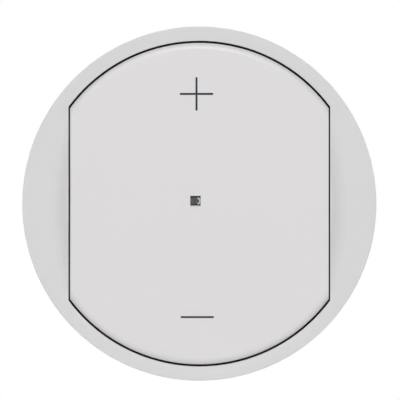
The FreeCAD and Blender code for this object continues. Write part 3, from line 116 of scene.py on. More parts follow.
class Signal:
    """An output of a node that takes part in sums and products."""

    def __init__(self, canvas: "Canvas", socket: bpy.types.NodeSocket) -> None:
        """Wrap one output socket of a canvas's node."""
        self.canvas = canvas
        self.socket = socket

    def combined(self, operation: str, first: "Value", second: "Value") -> "Signal":
        """Add the node that works out one operation.

        Args:
            operation: The name of the operation in a Math or Vector Math node.
            first: The left side.
            second: The right side.

        Returns:
            The result's socket.
        """
        if self.socket.type == "VECTOR":
            sides = [(side,) * 3 if isinstance(side, (int, float)) else side for side in (first, second)]
            return self.canvas.node(
                "ShaderNodeVectorMath", {"operation": operation}, {0: sides[0], 1: sides[1]}
            )
        return self.canvas.node("ShaderNodeMath", {"operation": operation}, {0: first, 1: second})

    def __add__(self, other: "Value") -> "Signal":
        """Add a number or another signal."""
        return self.combined("ADD", self, other)

    def __radd__(self, other: "Value") -> "Signal":
        """Add this signal to a number."""
        return self.combined("ADD", other, self)

    def __sub__(self, other: "Value") -> "Signal":
        """Take a number or another signal away."""
        return self.combined("SUBTRACT", self, other)

    def __rsub__(self, other: "Value") -> "Signal":
        """Take this signal away from a number."""
        return self.combined("SUBTRACT", other, self)

    def __mul__(self, other: "Value") -> "Signal":
        """Multiply by a number or another signal."""
        return self.combined("MULTIPLY", self, other)

    def __rmul__(self, other: "Value") -> "Signal":
        """Multiply a number by this signal."""
        return self.combined("MULTIPLY", other, self)

    def above(self, level: Number) -> "Signal":
        """Give 1 where the signal is above a level and 0 elsewhere."""
        return self.combined("GREATER_THAN", self, level)

    def unsigned(self) -> "Signal":
        """Give the signal without its sign."""
        return self.canvas.node("ShaderNodeMath", {"operation": "ABSOLUTE"}, {0: self})

    def within(self, low: Number, high: Number) -> "Signal":
        """Give 0 below a low level, 1 above a high one and a smooth step between them.

        Args:
            low: The level where the step starts.
            high: The level where the step ends.

        Returns:
            The step, from 0 to 1.
        """
        return self.canvas.node(
            "ShaderNodeMapRange",
            {"interpolation_type": "SMOOTHSTEP"},
            {"Value": self, "From Min": low, "From Max": high},
        )


Value = Union[Number, Colour, Sequence[float], Signal]


class Canvas:
    """A node tree that nodes are added to, of a material or of the world."""

    def __init__(self, tree: bpy.types.NodeTree) -> None:
        """Take the tree."""
        self.tree = tree

    def node(
        self, kind: str, settings: dict[str, Any], inputs: dict[Any, Value], output: Any = None
    ) -> Signal:
        """Add any node.

        Args:
            kind: The node's type.
            settings: Properties to set first, such as an operation.
            inputs: Socket names or numbers with their values or signals.
            output: The name or number of the output that is wanted, the first one if left out.

        Returns:
            The wanted output.
        """
        made = self.tree.nodes.new(kind)
        for name, setting in settings.items():
            setattr(made, name, setting)
        for name, value in inputs.items():
            self.feed(made.inputs[name], value)
        if output is None:
            output = next(number for number, socket in enumerate(made.outputs) if socket.enabled)
        return Signal(self, made.outputs[output])

    def feed(self, socket: bpy.types.NodeSocket, value: Value) -> None:
        """Link a signal to an input, or set the input to a value.

        Args:
            socket: The input.
            value: A signal, a number, or the levels of a colour or vector.
        """
        if isinstance(value, Signal):
            self.tree.links.new(value.socket, socket)
        elif socket.type == "RGBA" and not isinstance(value, (int, float)):
            socket.default_value = (*value[:3], 1.0)
        else:
            socket.default_value = value


class Recipe(Canvas):
    """The nodes of one material, from the texture coordinates to the shader."""

    def __init__(self, name: str) -> None:
        """Start a material with an output and one shader.

        Args:
            name: The material's name.
        """
        self.material = bpy.data.materials.new(name)
        self.material.use_nodes = True
        super().__init__(self.material.node_tree)
        self.shader = next(node for node in self.tree.nodes if node.type == "BSDF_PRINCIPLED")
        self.place = self.node("ShaderNodeTexCoord", {}, {}, "Object")

    def mixed(self, amount: Value, first: Value, second: Value) -> Signal:
        """Mix two colours.

        Args:
            amount: 0 for the first colour, 1 for the second.
            first: The colour at 0.
            second: The colour at 1.

        Returns:
            The mixed colour.
        """
        return self.node(
            "ShaderNodeMix", {"data_type": "RGBA"}, {"Factor": amount, 6: first, 7: second}, 2
        )

    def noise(self, size: float, detail: float = 2.0, stretch: Sequence[float] = (1, 1, 1)) -> Signal:
        """Add soft noise whose lumps are about a size across.

        Args:
            size: The size of a lump in metres.
            detail: How many finer layers it has.
            stretch: How much finer the noise is along each axis.

        Returns:
            The noise, from 0 to 1.
        """
        scaled = self.place * tuple(stretch)
        return self.node(
            "ShaderNodeTexNoise", {}, {"Vector": scaled, "Scale": 1.0 / size, "Detail": detail}, "Fac"
        )

    def along(self, axis: str) -> Signal:
        """Give the place along one axis in metres."""
        return self.node("ShaderNodeSeparateXYZ", {}, {"Vector": self.place}, axis)

    def waves(self, axis: str, pitch: float, wobble: float = 0.0) -> Signal:
        """Add even waves along one axis.

        Args:
            axis: X, Y or Z.
            pitch: The distance from one crest to the next in metres.
            wobble: How much the waves wander.

        Returns:
            The waves, from 0 to 1.
        """
        settings = {"wave_type": "BANDS", "bands_direction": axis, "wave_profile": "SIN"}
        inputs = {"Vector": self.place, "Scale": math.pi / 10.0 / pitch, "Distortion": wobble}
        return self.node("ShaderNodeTexWave", settings, inputs, "Fac")

    def cells(self, size: float, output: str = "Distance") -> Signal:
        """Add cells about a size across, as of grains or crystals."""
        return self.node("ShaderNodeTexVoronoi", {}, {"Vector": self.place, "Scale": 1.0 / size}, output)

    def bumped(self, height: Signal, depth: float, edge: float = 0.0) -> Signal:
        """Turn a height into a surface normal.

        Args:
            height: The height, from 0 to 1.
            depth: The height of 1 in metres.
            edge: The radius by which sharp edges look rounded, or 0 to leave them.

        Returns:
            The normal.
        """
        inputs: dict[Any, Value] = {"Height": height, "Distance": depth, "Strength": 1.0}
        if edge > 0:
            inputs["Normal"] = self.node("ShaderNodeBevel", {"samples": 4}, {"Radius": edge})
        return self.node("ShaderNodeBump", {}, inputs)

    def finished(self, inputs: dict[str, Value]) -> bpy.types.Material:
        """Set the shader's inputs and give the material.

        Args:
            inputs: The shader's socket names with their values or signals.

        Returns:
            The finished material.
        """
        for name, value in inputs.items():
            self.feed(self.shader.inputs[name], value)
        return self.material


@dataclass(frozen=True)
class MouldedPlastic:
    """Injection-moulded plastic with its tool's grain and a faint unevenness of tone."""

    colour: Colour
    grain: Grain = Grain.SATIN
    gloss: float = 0.42
    unevenness: float = 0.04
    edge: float = 0.12 * MM
    cloud_size: float = 14.0 * MM
    fleck_size: float = 0.5 * MM
    pit_size: float = 0.22 * MM

    def made(self, name: str) -> bpy.types.Material:
        """Make the material.

        Args:
            name: The material's name.

        Returns:
            The finished material.
        """
        recipe = Recipe(name)
        cloud = recipe.noise(self.cloud_size, 3.0).within(0.25, 0.75)
        fleck = recipe.noise(self.fleck_size).within(0.35, 0.65)
        darker = tuple(level * (1.0 - self.unevenness) for level in self.colour)
        tone = recipe.mixed(cloud * 0.7 + fleck * 0.3, darker, self.colour)
        size, detail, depth = self.grain.value
        height = recipe.noise(size, detail)
        if self.grain is Grain.SPARKED:
            height = recipe.cells(self.pit_size) * 0.6 + height * 0.4
        rough = self.gloss + (fleck - 0.5) * 0.06 + (cloud - 0.5) * 0.05
        return recipe.finished(
            {
                "Base Color": tone,
                "Roughness": rough,
                "Normal": recipe.bumped(height, depth, self.edge),
                "IOR": 1.5,
            }
        )


@dataclass(frozen=True)
class PrintedInk:
    """Pad-printed ink that lets a little of the plastic show through."""

    colour: Colour
    thin: Colour
    gloss: float = 0.5
    mottle_size: float = 0.35 * MM
    film_size: float = 0.09 * MM
    relief: float = 0.003 * MM

    def made(self, name: str) -> bpy.types.Material:
        """Make the material.

        Args:
            name: The material's name.

        Returns:
            The finished material.
        """
        recipe = Recipe(name)
        mottle = recipe.noise(self.mottle_size, 4.0).within(0.38, 0.68)
        film = recipe.noise(self.film_size)
        return recipe.finished(
            {
                "Base Color": recipe.mixed(mottle, self.colour, self.thin),
                "Roughness": self.gloss + (mottle - 0.5) * 0.15,
                "Normal": recipe.bumped(film, self.relief),
                "Specular IOR Level": 0.3,
            }
        )


@dataclass(frozen=True)
class SmokyPlastic:
    """Tinted clear plastic of the light guide, with a painted highlight crescent toward its right edge, a
    painted highlight strip along its bottom, and painted shade along its top border and above the strip.
    """

    colour: Colour
    cloud: Colour
    # painted shade colour along the top border and above the bottom strip
    painted_shade: Colour
    # painted highlight colour of the crescent and of the bottom strip
    pale: Colour
    middle: tuple[float, float]
    half: float
    swirl_size: float = 0.3 * MM
    relief: float = 0.004 * MM
    edge: float = 0.06 * MM

    def made(self, name: str) -> bpy.types.Material:
        """Make the material.

        Args:
            name: The material's name.

        Returns:
            The finished material.
        """
        recipe = Recipe(name)
        across = (recipe.along("X") - self.middle[0]) * (1.0 / self.half)
        upward = (recipe.along("Z") - self.middle[1]) * (1.0 / self.half)
        swirl = recipe.noise(self.swirl_size, 3.0)
        beside = across - 0.55
        # painted highlight: a crescent toward the right edge and a pale strip along the bottom, placed by
        # position
        lens = beside * beside * 5.5 + upward * upward * 2.2
        painted_highlight_crescent = (1 - lens.within(0.75, 1.25)) * lens.within(0.15, 0.5) * beside.within(-0.25, 0.05)
        painted_highlight_strip = (-1 * upward).within(0.78, 0.9)
        # painted shade along the top border and painted shadow above the bottom strip
        painted_shade_border = (upward - 0.08 * across).within(0.55, 0.8)
        shadow = (-1 * upward).within(0.45, 0.6) * (1 - painted_highlight_strip)
        middle = recipe.mixed(swirl.within(0.35, 0.65), self.colour, self.cloud)
        tone = recipe.mixed((painted_shade_border + shadow).within(0.0, 1.0), middle, self.painted_shade)
        return recipe.finished(
            {
                "Base Color": recipe.mixed((painted_highlight_crescent + painted_highlight_strip * 0.55).within(0.0, 1.0), tone, self.pale),
                "Roughness": 0.12 + swirl * 0.12,
                "Normal": recipe.bumped(swirl, self.relief, self.edge),
                "IOR": 1.49,
                "Specular IOR Level": 0.3,
                "Transmission Weight": 0.04,
            }
        )


@dataclass(frozen=True)
class WorkedMetal:
    """Rolled, turned or plated metal with fine working marks and slight tarnish."""

    colour: Colour
    tarnish: Colour
    direction: Direction = Direction.TURNED
    gloss: float = 0.28
    marks: float = 0.18 * MM
    depth: float = 0.004 * MM
    edge: float = 0.05 * MM
    stain_size: float = 3.5 * MM
    pit_size: float = 0.6 * MM

    def made(self, name: str) -> bpy.types.Material:
        """Make the material.

        Args:
            name: The material's name.

        Returns:
            The finished material.
        """
        recipe = Recipe(name)
        lines = recipe.noise(self.marks, 4.0, self.direction.value)
        stain = recipe.noise(self.stain_size, 5.0).within(0.45, 0.8)
        pits = recipe.cells(self.pit_size).within(0.0, 0.35)
        tone = recipe.mixed(stain * 0.6 + lines * 0.25, self.colour, self.tarnish)
        return recipe.finished(
            {
                "Base Color": tone,
                "Metallic": 1.0,
                "Roughness": self.gloss + stain * 0.16 + lines * 0.12 - pits * 0.03,
                "Normal": recipe.bumped(lines * 0.8 + pits * 0.2, self.depth, self.edge),
            }
        )


@dataclass(frozen=True)
class BoardLaminate:
    """Solder-masked glass laminate with tracks that show under the mask and a bare rim."""

    mask: Colour
    over_copper: Colour
    rim: Colour
    half: float
    patch: float = 8.0 * MM
    row: float = 1.27 * MM
    run: float = 7.6 * MM
    half_track: float = 0.14 * MM
    row_shift: float = 0.37
    poured_above: float = 0.82
    via: Colour = from_screen(186, 188, 186)
    via_spacing: float = 4.5 * MM
    via_edge: tuple[float, float] = (0.05, 0.065)
    weave_pitch: float = 0.6 * MM
    rim_width: float = 0.35 * MM
    relief: float = 0.02 * MM
    edge: float = 0.05 * MM

    def tracks(self, recipe: Recipe, along: Signal, between: Signal) -> Signal:
        """Draw parallel tracks that are joined here and there.

        Args:
            recipe: The material's nodes.
            along: The place along the tracks in millimetres.
            between: The place from one track to the next in millimetres.

        Returns:
            1 on a track and 0 between tracks.
        """
        inputs = {
            "Vector": recipe.node("ShaderNodeCombineXYZ", {}, {"X": along, "Y": between}),
            "Scale": 1.0,
            "Mortar Size": self.half_track / MM,
            "Brick Width": self.run / MM,
            "Row Height": self.row / MM,
        }
        return recipe.node("ShaderNodeTexBrick", {"offset": self.row_shift}, inputs, "Fac")

    def made(self, name: str) -> bpy.types.Material:
        """Make the material.

        Args:
            name: The material's name.

        Returns:
            The finished material.
        """
        recipe = Recipe(name)
        across, upward = recipe.along("X") * (1 / MM), recipe.along("Z") * (1 / MM)
        inputs = {"Vector": recipe.place, "Scale": 1.0 / self.patch}
        patches = recipe.node("ShaderNodeTexVoronoi", {"distance": "CHEBYCHEV"}, inputs, "Color")
        choice = recipe.node("ShaderNodeSeparateXYZ", {}, {"Vector": patches}, "X")
        upright = choice.above(0.5)
        level_tracks = self.tracks(recipe, across, upward) * (1 - upright)
        tracks = level_tracks + self.tracks(recipe, upward, across) * upright
        poured = choice.above(self.poured_above)
        tracks = tracks * (1 - poured) + poured
        vias = 1 - recipe.cells(self.via_spacing).within(*self.via_edge)
        weave = recipe.waves("X", self.weave_pitch) * recipe.waves("Z", self.weave_pitch)
        reach_x, reach_z = recipe.along("X").unsigned(), recipe.along("Z").unsigned()
        outer = reach_x.combined("MAXIMUM", reach_x, reach_z)
        rim = outer.above(self.half - self.rim_width)
        tone = recipe.mixed(tracks * 0.8 + weave * 0.12, self.mask, self.over_copper)
        face = recipe.mixed(vias, tone, self.via)
        return recipe.finished(
            {
                "Base Color": recipe.mixed(rim, face, self.rim),
                "Roughness": 0.3 + rim * 0.35 + weave * 0.08,
                "Normal": recipe.bumped(tracks * 0.7 + weave * 0.3, self.relief, self.edge),
                "Coat Weight": 0.25 - rim * 0.2,
            }
        )


@dataclass(frozen=True)
class EnamelledWire:
    """Copper wire under clear enamel that is thicker in places."""

    colour: Colour
    shade: Colour
    varnish_size: float = 1.6 * MM
    drawn_size: float = 0.12 * MM
    relief: float = 0.003 * MM

    def made(self, name: str) -> bpy.types.Material:
        """Make the material.

        Args:
            name: The material's name.

        Returns:
            The finished material.
        """
        recipe = Recipe(name)
        varnish = recipe.noise(self.varnish_size, 3.0).within(0.3, 0.7)
        draw_marks = recipe.noise(self.drawn_size)
        return recipe.finished(
            {
                "Base Color": recipe.mixed(varnish * 0.6 + draw_marks * 0.2, self.colour, self.shade),
                "Metallic": 0.85 + draw_marks * 0.1,
                "Roughness": 0.24 + varnish * 0.14,
                "Normal": recipe.bumped(draw_marks, self.relief),
                "Coat Weight": 0.4 + varnish * 0.3,
            }
        )


@dataclass(frozen=True)
class ThreadedMetal:
    """Plated screw whose shank shows its thread beyond the head."""

    colour: Colour
    tarnish: Colour
    shank_start: float
    pitch: float = 0.7 * MM
    thread_depth: float = 0.315 * MM
    stain_size: float = 1.2 * MM
    edge: float = 0.04 * MM

    def made(self, name: str) -> bpy.types.Material:
        """Make the material.

        Args:
            name: The material's name.

        Returns:
            The finished material.
        """
        recipe = Recipe(name)
        shank = recipe.along("Y").within(self.shank_start, self.shank_start + self.pitch)
        thread = recipe.waves("Y", self.pitch) * shank
        stain = recipe.noise(self.stain_size, 4.0).within(0.45, 0.8)
        return recipe.finished(
            {
                "Base Color": recipe.mixed(stain * 0.5 + (1 - thread) * 0.15, self.colour, self.tarnish),
                "Metallic": 1.0,
                "Roughness": 0.26 + stain * 0.2,
                "Normal": recipe.bumped(thread + stain * 0.05, self.thread_depth, self.edge),
            }
        )


@dataclass(frozen=True)
class SpeckledBody:
    """Pressed or fired body, such as ferrite or ceramic, with fine specks and softened edges."""

    colour: Colour
    speck: Colour
    grain_size: float
    gloss: float = 0.6
    depth: float = 0.01 * MM
    edge: float = 0.08 * MM
    blotch_grains: int = 12

    def made(self, name: str) -> bpy.types.Material:
        """Make the material.

        Args:
            name: The material's name.

        Returns:
            The finished material.
        """
        recipe = Recipe(name)
        specks = recipe.cells(self.grain_size).within(0.15, 0.5)
        blotch = recipe.noise(self.grain_size * self.blotch_grains, 3.0)
        return recipe.finished(
            {
                "Base Color": recipe.mixed((1 - specks) * 0.5 + blotch * 0.3, self.colour, self.speck),
                "Roughness": self.gloss + specks * 0.12 - blotch * 0.1,
                "Normal": recipe.bumped(specks + blotch * 0.4, self.depth, self.edge),
            }
        )


@dataclass(frozen=True)
class SleeveFilm:
    """Shrink sleeve of a can capacitor with a pale stripe down one side."""

    colour: Colour
    stripe: Colour
    stripe_x: float
    stripe_blur: float = 0.05 * MM
    ripple_size: float = 0.9 * MM
    relief: float = 0.02 * MM
    edge: float = 0.1 * MM

    def made(self, name: str) -> bpy.types.Material:
        """Make the material.

        Args:
            name: The material's name.

        Returns:
            The finished material.
        """
        recipe = Recipe(name)
        stripe = recipe.along("X").within(self.stripe_x - self.stripe_blur, self.stripe_x)
        ripple = recipe.noise(self.ripple_size, stretch=(1.0, 0.3, 1.0))
        return recipe.finished(
            {
                "Base Color": recipe.mixed(stripe, self.colour, self.stripe),
                "Roughness": 0.25 + ripple * 0.15,
                "Normal": recipe.bumped(ripple, self.relief, self.edge),
                "Coat Weight": 0.35 + ripple * 0.2,
            }
        )


@dataclass(frozen=True)
class ClearResin:
    """Cloudy cast resin of an indicator lamp."""

    colour: Colour
    core: Colour
    haze_size: float = 0.5 * MM
    relief: float = 0.004 * MM

    def made(self, name: str) -> bpy.types.Material:
        """Make the material.

        Args:
            name: The material's name.

        Returns:
            The finished material.
        """
        recipe = Recipe(name)
        haze = recipe.noise(self.haze_size, 3.0)
        return recipe.finished(
            {
                "Base Color": recipe.mixed(haze, self.colour, self.core),
                "Roughness": 0.08 + haze * 0.1,
                "Normal": recipe.bumped(haze, self.relief),
                "Transmission Weight": 0.5,
                "IOR": 1.53,
            }
        )


@dataclass(frozen=True)
class WovenPad:
    """Silicone pad over a glass weave."""

    colour: Colour
    thread: Colour
    pitch: float
    chalk_size: float = 2.0 * MM
    relief: float = 0.03 * MM

    def made(self, name: str) -> bpy.types.Material:
        """Make the material.

        Args:
            name: The material's name.

        Returns:
            The finished material.
        """
        recipe = Recipe(name)
        weave = recipe.waves("X", self.pitch, 0.1) + recipe.waves("Z", self.pitch, 0.1)
        chalk = recipe.noise(self.chalk_size, 3.0)
        return recipe.finished(
            {
                "Base Color": recipe.mixed(weave * 0.35 + chalk * 0.2, self.colour, self.thread),
                "Roughness": 0.62 + chalk * 0.15,
                "Normal": recipe.bumped(weave * 0.5, self.relief),
            }
        )


BLACK_PARTS = ("tact_switch_plus", "tact_switch_minus", "control_chip", "board_link", "triac")
TINNED_PARTS = ("led_leads", "chip_feet", "triac_tab", "triac_leads")
HOLDER_PARTS = ("led_holder", "board_spacers")
CLAMP_SPRINGS = ("terminal_spring_line", "terminal_spring_load", "terminal_spring_aux")
COIL_SPRINGS = ("plunger_spring_plus", "plunger_spring_minus")
TERMINAL_BARS = ("terminal_bar_line", "terminal_bar_load", "terminal_bar_aux")
RELEASE_BUTTONS = ("release_button_line", "release_button_load", "release_button_aux")


Finish = Union[
    MouldedPlastic, PrintedInk, SmokyPlastic, WorkedMetal, BoardLaminate, EnamelledWire, ThreadedMetal,
    SpeckledBody, SleeveFilm, ClearResin, WovenPad,
]


@dataclass
class SubAssembly:
    """A group of the switch's pieces that are dressed together."""

    nodes: dict[str, bpy.types.Object]

    def dress(self, finish: Finish, slot: str, *names: str) -> None:
        """Give CAD nodes one finish.

        Args:
            finish: The finish of all the named nodes.
            slot: The name of the finish and of its material.
            names: The CAD nodes.
        """
        material = finish.made(slot)
        for name in names:
            mesh = self.nodes[name].data
            mesh.materials.clear()
            mesh.materials.append(material)
            LOG.info("dressed %s with %s", name, slot)

    def place(self, name: str, data: Union[bpy.types.Mesh, bpy.types.Curve], slot: str) -> bpy.types.Object:
        """Put a new piece into the fixed part of the switch.

        Args:
            name: The piece's name.
            data: Its mesh or curve.
            slot: The finish it shares, which must be made already.

        Returns:
            The new piece.
        """
        piece = bpy.data.objects.new(name, data)
        bpy.context.scene.collection.objects.link(piece)
        data.materials.append(bpy.data.materials[slot])
        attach(piece, "mechanism")
        LOG.info("made %s", name)
        return piece

    def spring(self, name: str, node: str, body: str, start: Vector, end: Vector) -> None:
        """Put a copy of a CAD node's mesh in place of the node, and hide the node.

        Args:
            name: The new piece's name.
            node: The CAD node whose shape it has, which must be dressed already.
            body: A moving body, which is only named in the log.
            start: Not used.
            end: Not used.
        """
        piece = bpy.data.objects.new(name, self.nodes[node].data.copy())
        bpy.context.scene.collection.objects.link(piece)
        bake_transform(piece)
        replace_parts(piece, node)
        LOG.info("made %s, which bends with %s", name, body)

    def middle(self, name: str) -> Vector:
        """Give the middle of a CAD node's box."""
        low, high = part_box(name)
        return (Vector(low) + Vector(high)) / 2


@dataclass
class Cover(SubAssembly):
    """The round ring that shows around the rocker, and the plate behind it."""

    ring_tone: Colour = from_screen(213, 213, 213)
    # the chassis colour is a guess; it is also made this dark as painted shade, so that the gaps round the
    # rocker look as dark as deep shade
    plate_tone: Colour = from_screen(40, 41, 44)

    def build(self) -> None:
        """Dress the ring and its chassis."""
        self.dress(MouldedPlastic(self.ring_tone, Grain.SATIN, 0.45, 0.02), "cover_plastic", "cover_ring")
        plate = MouldedPlastic(self.plate_tone, Grain.SPARKED, 0.55, 0.05)
        self.dress(plate, "chassis_plastic", "cover_chassis")


@dataclass
class RockerPlate(SubAssembly):
    """The rocker with its printed marks and its small window."""

    face_tone: Colour = from_screen(220, 218, 219)
    ink: Colour = from_screen(22, 23, 32)
    ink_thin: Colour = from_screen(48, 50, 66)
    window_middle: tuple[float, float] = (-0.70 * MM, 0.47 * MM)
    window_half: float = 0.9 * MM

    def build(self) -> None:
        """Dress the rocker, its marks and its window."""
        self.dress(MouldedPlastic(self.face_tone, Grain.SATIN, 0.42, 0.012), "rocker_plastic", "rocker")
        self.dress(PrintedInk(self.ink, self.ink_thin), "mark_ink", "plus_mark", "minus_mark")
        smoke = SmokyPlastic(
            from_screen(50, 52, 56),
            from_screen(84, 86, 90),
            # painted shade colour of the window's top border and of the band above its bottom strip
            from_screen(16, 18, 22),
            # painted highlight colour of the window's crescent and bottom strip
            from_screen(198, 200, 204),
            self.window_middle,
            self.window_half,
        )
        self.dress(smoke, "smoky_plastic", "light_guide")


@dataclass
class Housing(SubAssembly):
    """The two halves of the housing with the screws and the clips."""

    front_tone: Colour = from_screen(206, 205, 200)
    rear_tone: Colour = from_screen(198, 197, 192)
    screw_shank: float = -3.0 * MM

    def build(self) -> None:
        """Dress both halves and their fasteners."""
        front = MouldedPlastic(self.front_tone, Grain.SPARKED, 0.5, 0.05)
        rear = MouldedPlastic(self.rear_tone, Grain.SPARKED, 0.55, 0.06)
        self.dress(front, "housing_front_plastic", "front_housing")
        self.dress(rear, "housing_rear_plastic", "rear_housing")
        zinc = ThreadedMetal(from_screen(196, 199, 204), from_screen(150, 150, 142), self.screw_shank)
        leaf = WorkedMetal(from_screen(178, 180, 184), from_screen(128, 124, 116), Direction.UPWARD, 0.26)
        self.dress(zinc, "zinc_steel", "housing_screws")
        self.dress(leaf, "spring_steel", "support_clips", *CLAMP_SPRINGS, *COIL_SPRINGS)


@dataclass
class PressTrain(SubAssembly):
    """What carries a press from the rocker to the control board."""

    plunger_tone: Colour = from_screen(232, 231, 220)
    stem_tone: Colour = from_screen(120, 52, 44)
    seat_turn: float = 0.5 * MM

    def build(self) -> None:
        """Dress the plungers and the switch stems, and seat the return springs."""
        plunger = MouldedPlastic(self.plunger_tone, Grain.POLISHED, 0.32, 0.04)
        self.dress(plunger, "plunger_plastic", "plunger_plus", "plunger_minus")
        stem = MouldedPlastic(self.stem_tone, Grain.SATIN, 0.4, 0.1)
        self.dress(stem, "stem_plastic", "tact_stem_plus", "tact_stem_minus")
        for side in ("plus", "minus"):
            node = f"plunger_spring_{side}"
            low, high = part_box(node)
            fixed = Vector((low.x, high.y - self.seat_turn, low.z))
            moving = Vector((low.x, low.y + self.seat_turn, low.z))
            self.spring(f"return_spring_{side}", node, f"plunger_{side}", fixed, moving)


@dataclass
class Boards(SubAssembly):
    """The control board and the power board with their small parts and solder joints."""

    board_half: float = 18.6 * MM
    joint_radius: float = 0.8 * MM
    joint_height: float = 0.28 * MM
    joint_sides: int = 14
    joint_wide: tuple[float, ...] = (1.0, 0.72, 0.48, 0.34, 0.2)
    joint_high: tuple[float, ...] = (0.0, 0.18, 0.5, 0.9, 1.0)
    link_pitch: float = 2.5 * MM
    triac_pitch: float = 2.54 * MM
    power_leads: tuple[tuple[str, float], ...] = (
        ("filter_capacitor", 5.0 * MM),
        ("smoothing_capacitor", 1.0 * MM),
        ("fuse", 2.54 * MM),
        ("choke_core", 6.1 * MM),
        *((bar, 1.4 * MM) for bar in TERMINAL_BARS),
    )
    control_leads: tuple[tuple[str, float], ...] = (
        ("led_leads", 1.0 * MM),
        ("tact_switch_plus", 3.25 * MM),
        ("tact_switch_minus", 3.25 * MM),
    )

    def build(self) -> None:
        """Dress both boards and what is soldered to them, and add the solder."""
        laminate = BoardLaminate(
            from_screen(28, 92, 52), from_screen(52, 122, 74), from_screen(176, 160, 104), self.board_half
        )
        self.dress(laminate, "board_laminate", "control_board", "power_board")
        black = MouldedPlastic(from_screen(38, 38, 40), Grain.SPARKED, 0.5, 0.25)
        self.dress(black, "black_plastic", *BLACK_PARTS)
        tinned = WorkedMetal(from_screen(206, 207, 208), from_screen(158, 158, 156), gloss=0.24)
        self.dress(tinned, "tinned_metal", *TINNED_PARTS)
        ceramic = SpeckledBody(from_screen(172, 148, 120), from_screen(110, 92, 72), 0.25 * MM, 0.5)
        self.dress(ceramic, "ceramic_parts", "surface_parts")
        gilt = WorkedMetal(from_screen(222, 192, 110), from_screen(168, 132, 62), Direction.UPWARD, 0.2)
        self.dress(gilt, "gilt_brass", "board_link_pins")
        resin = ClearResin(from_screen(236, 238, 242), from_screen(206, 212, 222))
        self.dress(resin, "lamp_resin", "indicator_led")
        holder = MouldedPlastic(from_screen(226, 226, 216), Grain.SATIN, 0.5, 0.05)
        self.dress(holder, "holder_plastic", *HOLDER_PARTS)
        power_joints = self.pairs(self.power_leads)
        power_joints += self.row("triac_leads", self.triac_pitch, 1)
        power_joints += self.row("board_link_pins", self.link_pitch, 2)
        self.solder("solder_power_board", power_joints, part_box("power_board")[0][1], -1)
        control_joints = self.pairs(self.control_leads)
        self.solder("solder_control_board", control_joints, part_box("control_board")[1][1], 1)

    def pairs(self, leads: Sequence[tuple[str, float]]) -> list[tuple[float, float]]:
        """Give two joints left and right of the middle of each node.

        Args:
            leads: CAD nodes, each with the distance of its joints from its middle.

        Returns:
            The joints' places across and up.
        """
        joints = []
        for name, apart in leads:
            middle = self.middle(name)
            joints += [(middle.x - apart, middle.z), (middle.x + apart, middle.z)]
        return joints

    def row(self, name: str, pitch: float, beside: int) -> list[tuple[float, float]]:
        """Give a level row of joints over the middle of a node.

        Args:
            name: The CAD node that the leads belong to.
            pitch: The distance from one joint to the next.
            beside: How many joints stand on each side of the middle one.

        Returns:
            The joints' places across and up.
        """
        middle = self.middle(name)
        return [(middle.x + place * pitch, middle.z) for place in range(-beside, beside + 1)]

    def solder(self, name: str, joints: Sequence[tuple[float, float]], face: float, out: int) -> None:
        """Build hollowed cones of solder that stand on one face of a board.

        Args:
            name: The piece's name.
            joints: The places of the joints, across and up.
            face: Where the board's face lies along Y.
            out: 1 if the joints stand toward +Y, -1 if they stand toward -Y.
        """
        mesh = bmesh.new()
        turns = [2 * math.pi * side / self.joint_sides for side in range(self.joint_sides)]
        for across, up in joints:
            rings = []
            for wide, high in zip(self.joint_wide, self.joint_high):
                radius, depth = wide * self.joint_radius, face + out * high * self.joint_height
                edge = [(across + radius * math.cos(turn), up + radius * math.sin(turn)) for turn in turns]
                rings.append([mesh.verts.new((x, depth, z)) for x, z in edge])
            for lower, upper in zip(rings, rings[1:]):
                for side in range(self.joint_sides):
                    mesh.faces.new((lower[side - 1], lower[side], upper[side], upper[side - 1]))
            mesh.faces.new(rings[0])
            mesh.faces.new(rings[-1])
        bmesh.ops.recalc_face_normals(mesh, faces=mesh.faces[:])
        data = bpy.data.meshes.new(name)
        mesh.to_mesh(data)
        mesh.free()
        data.shade_smooth()
        self.place(name, data, "tinned_metal")


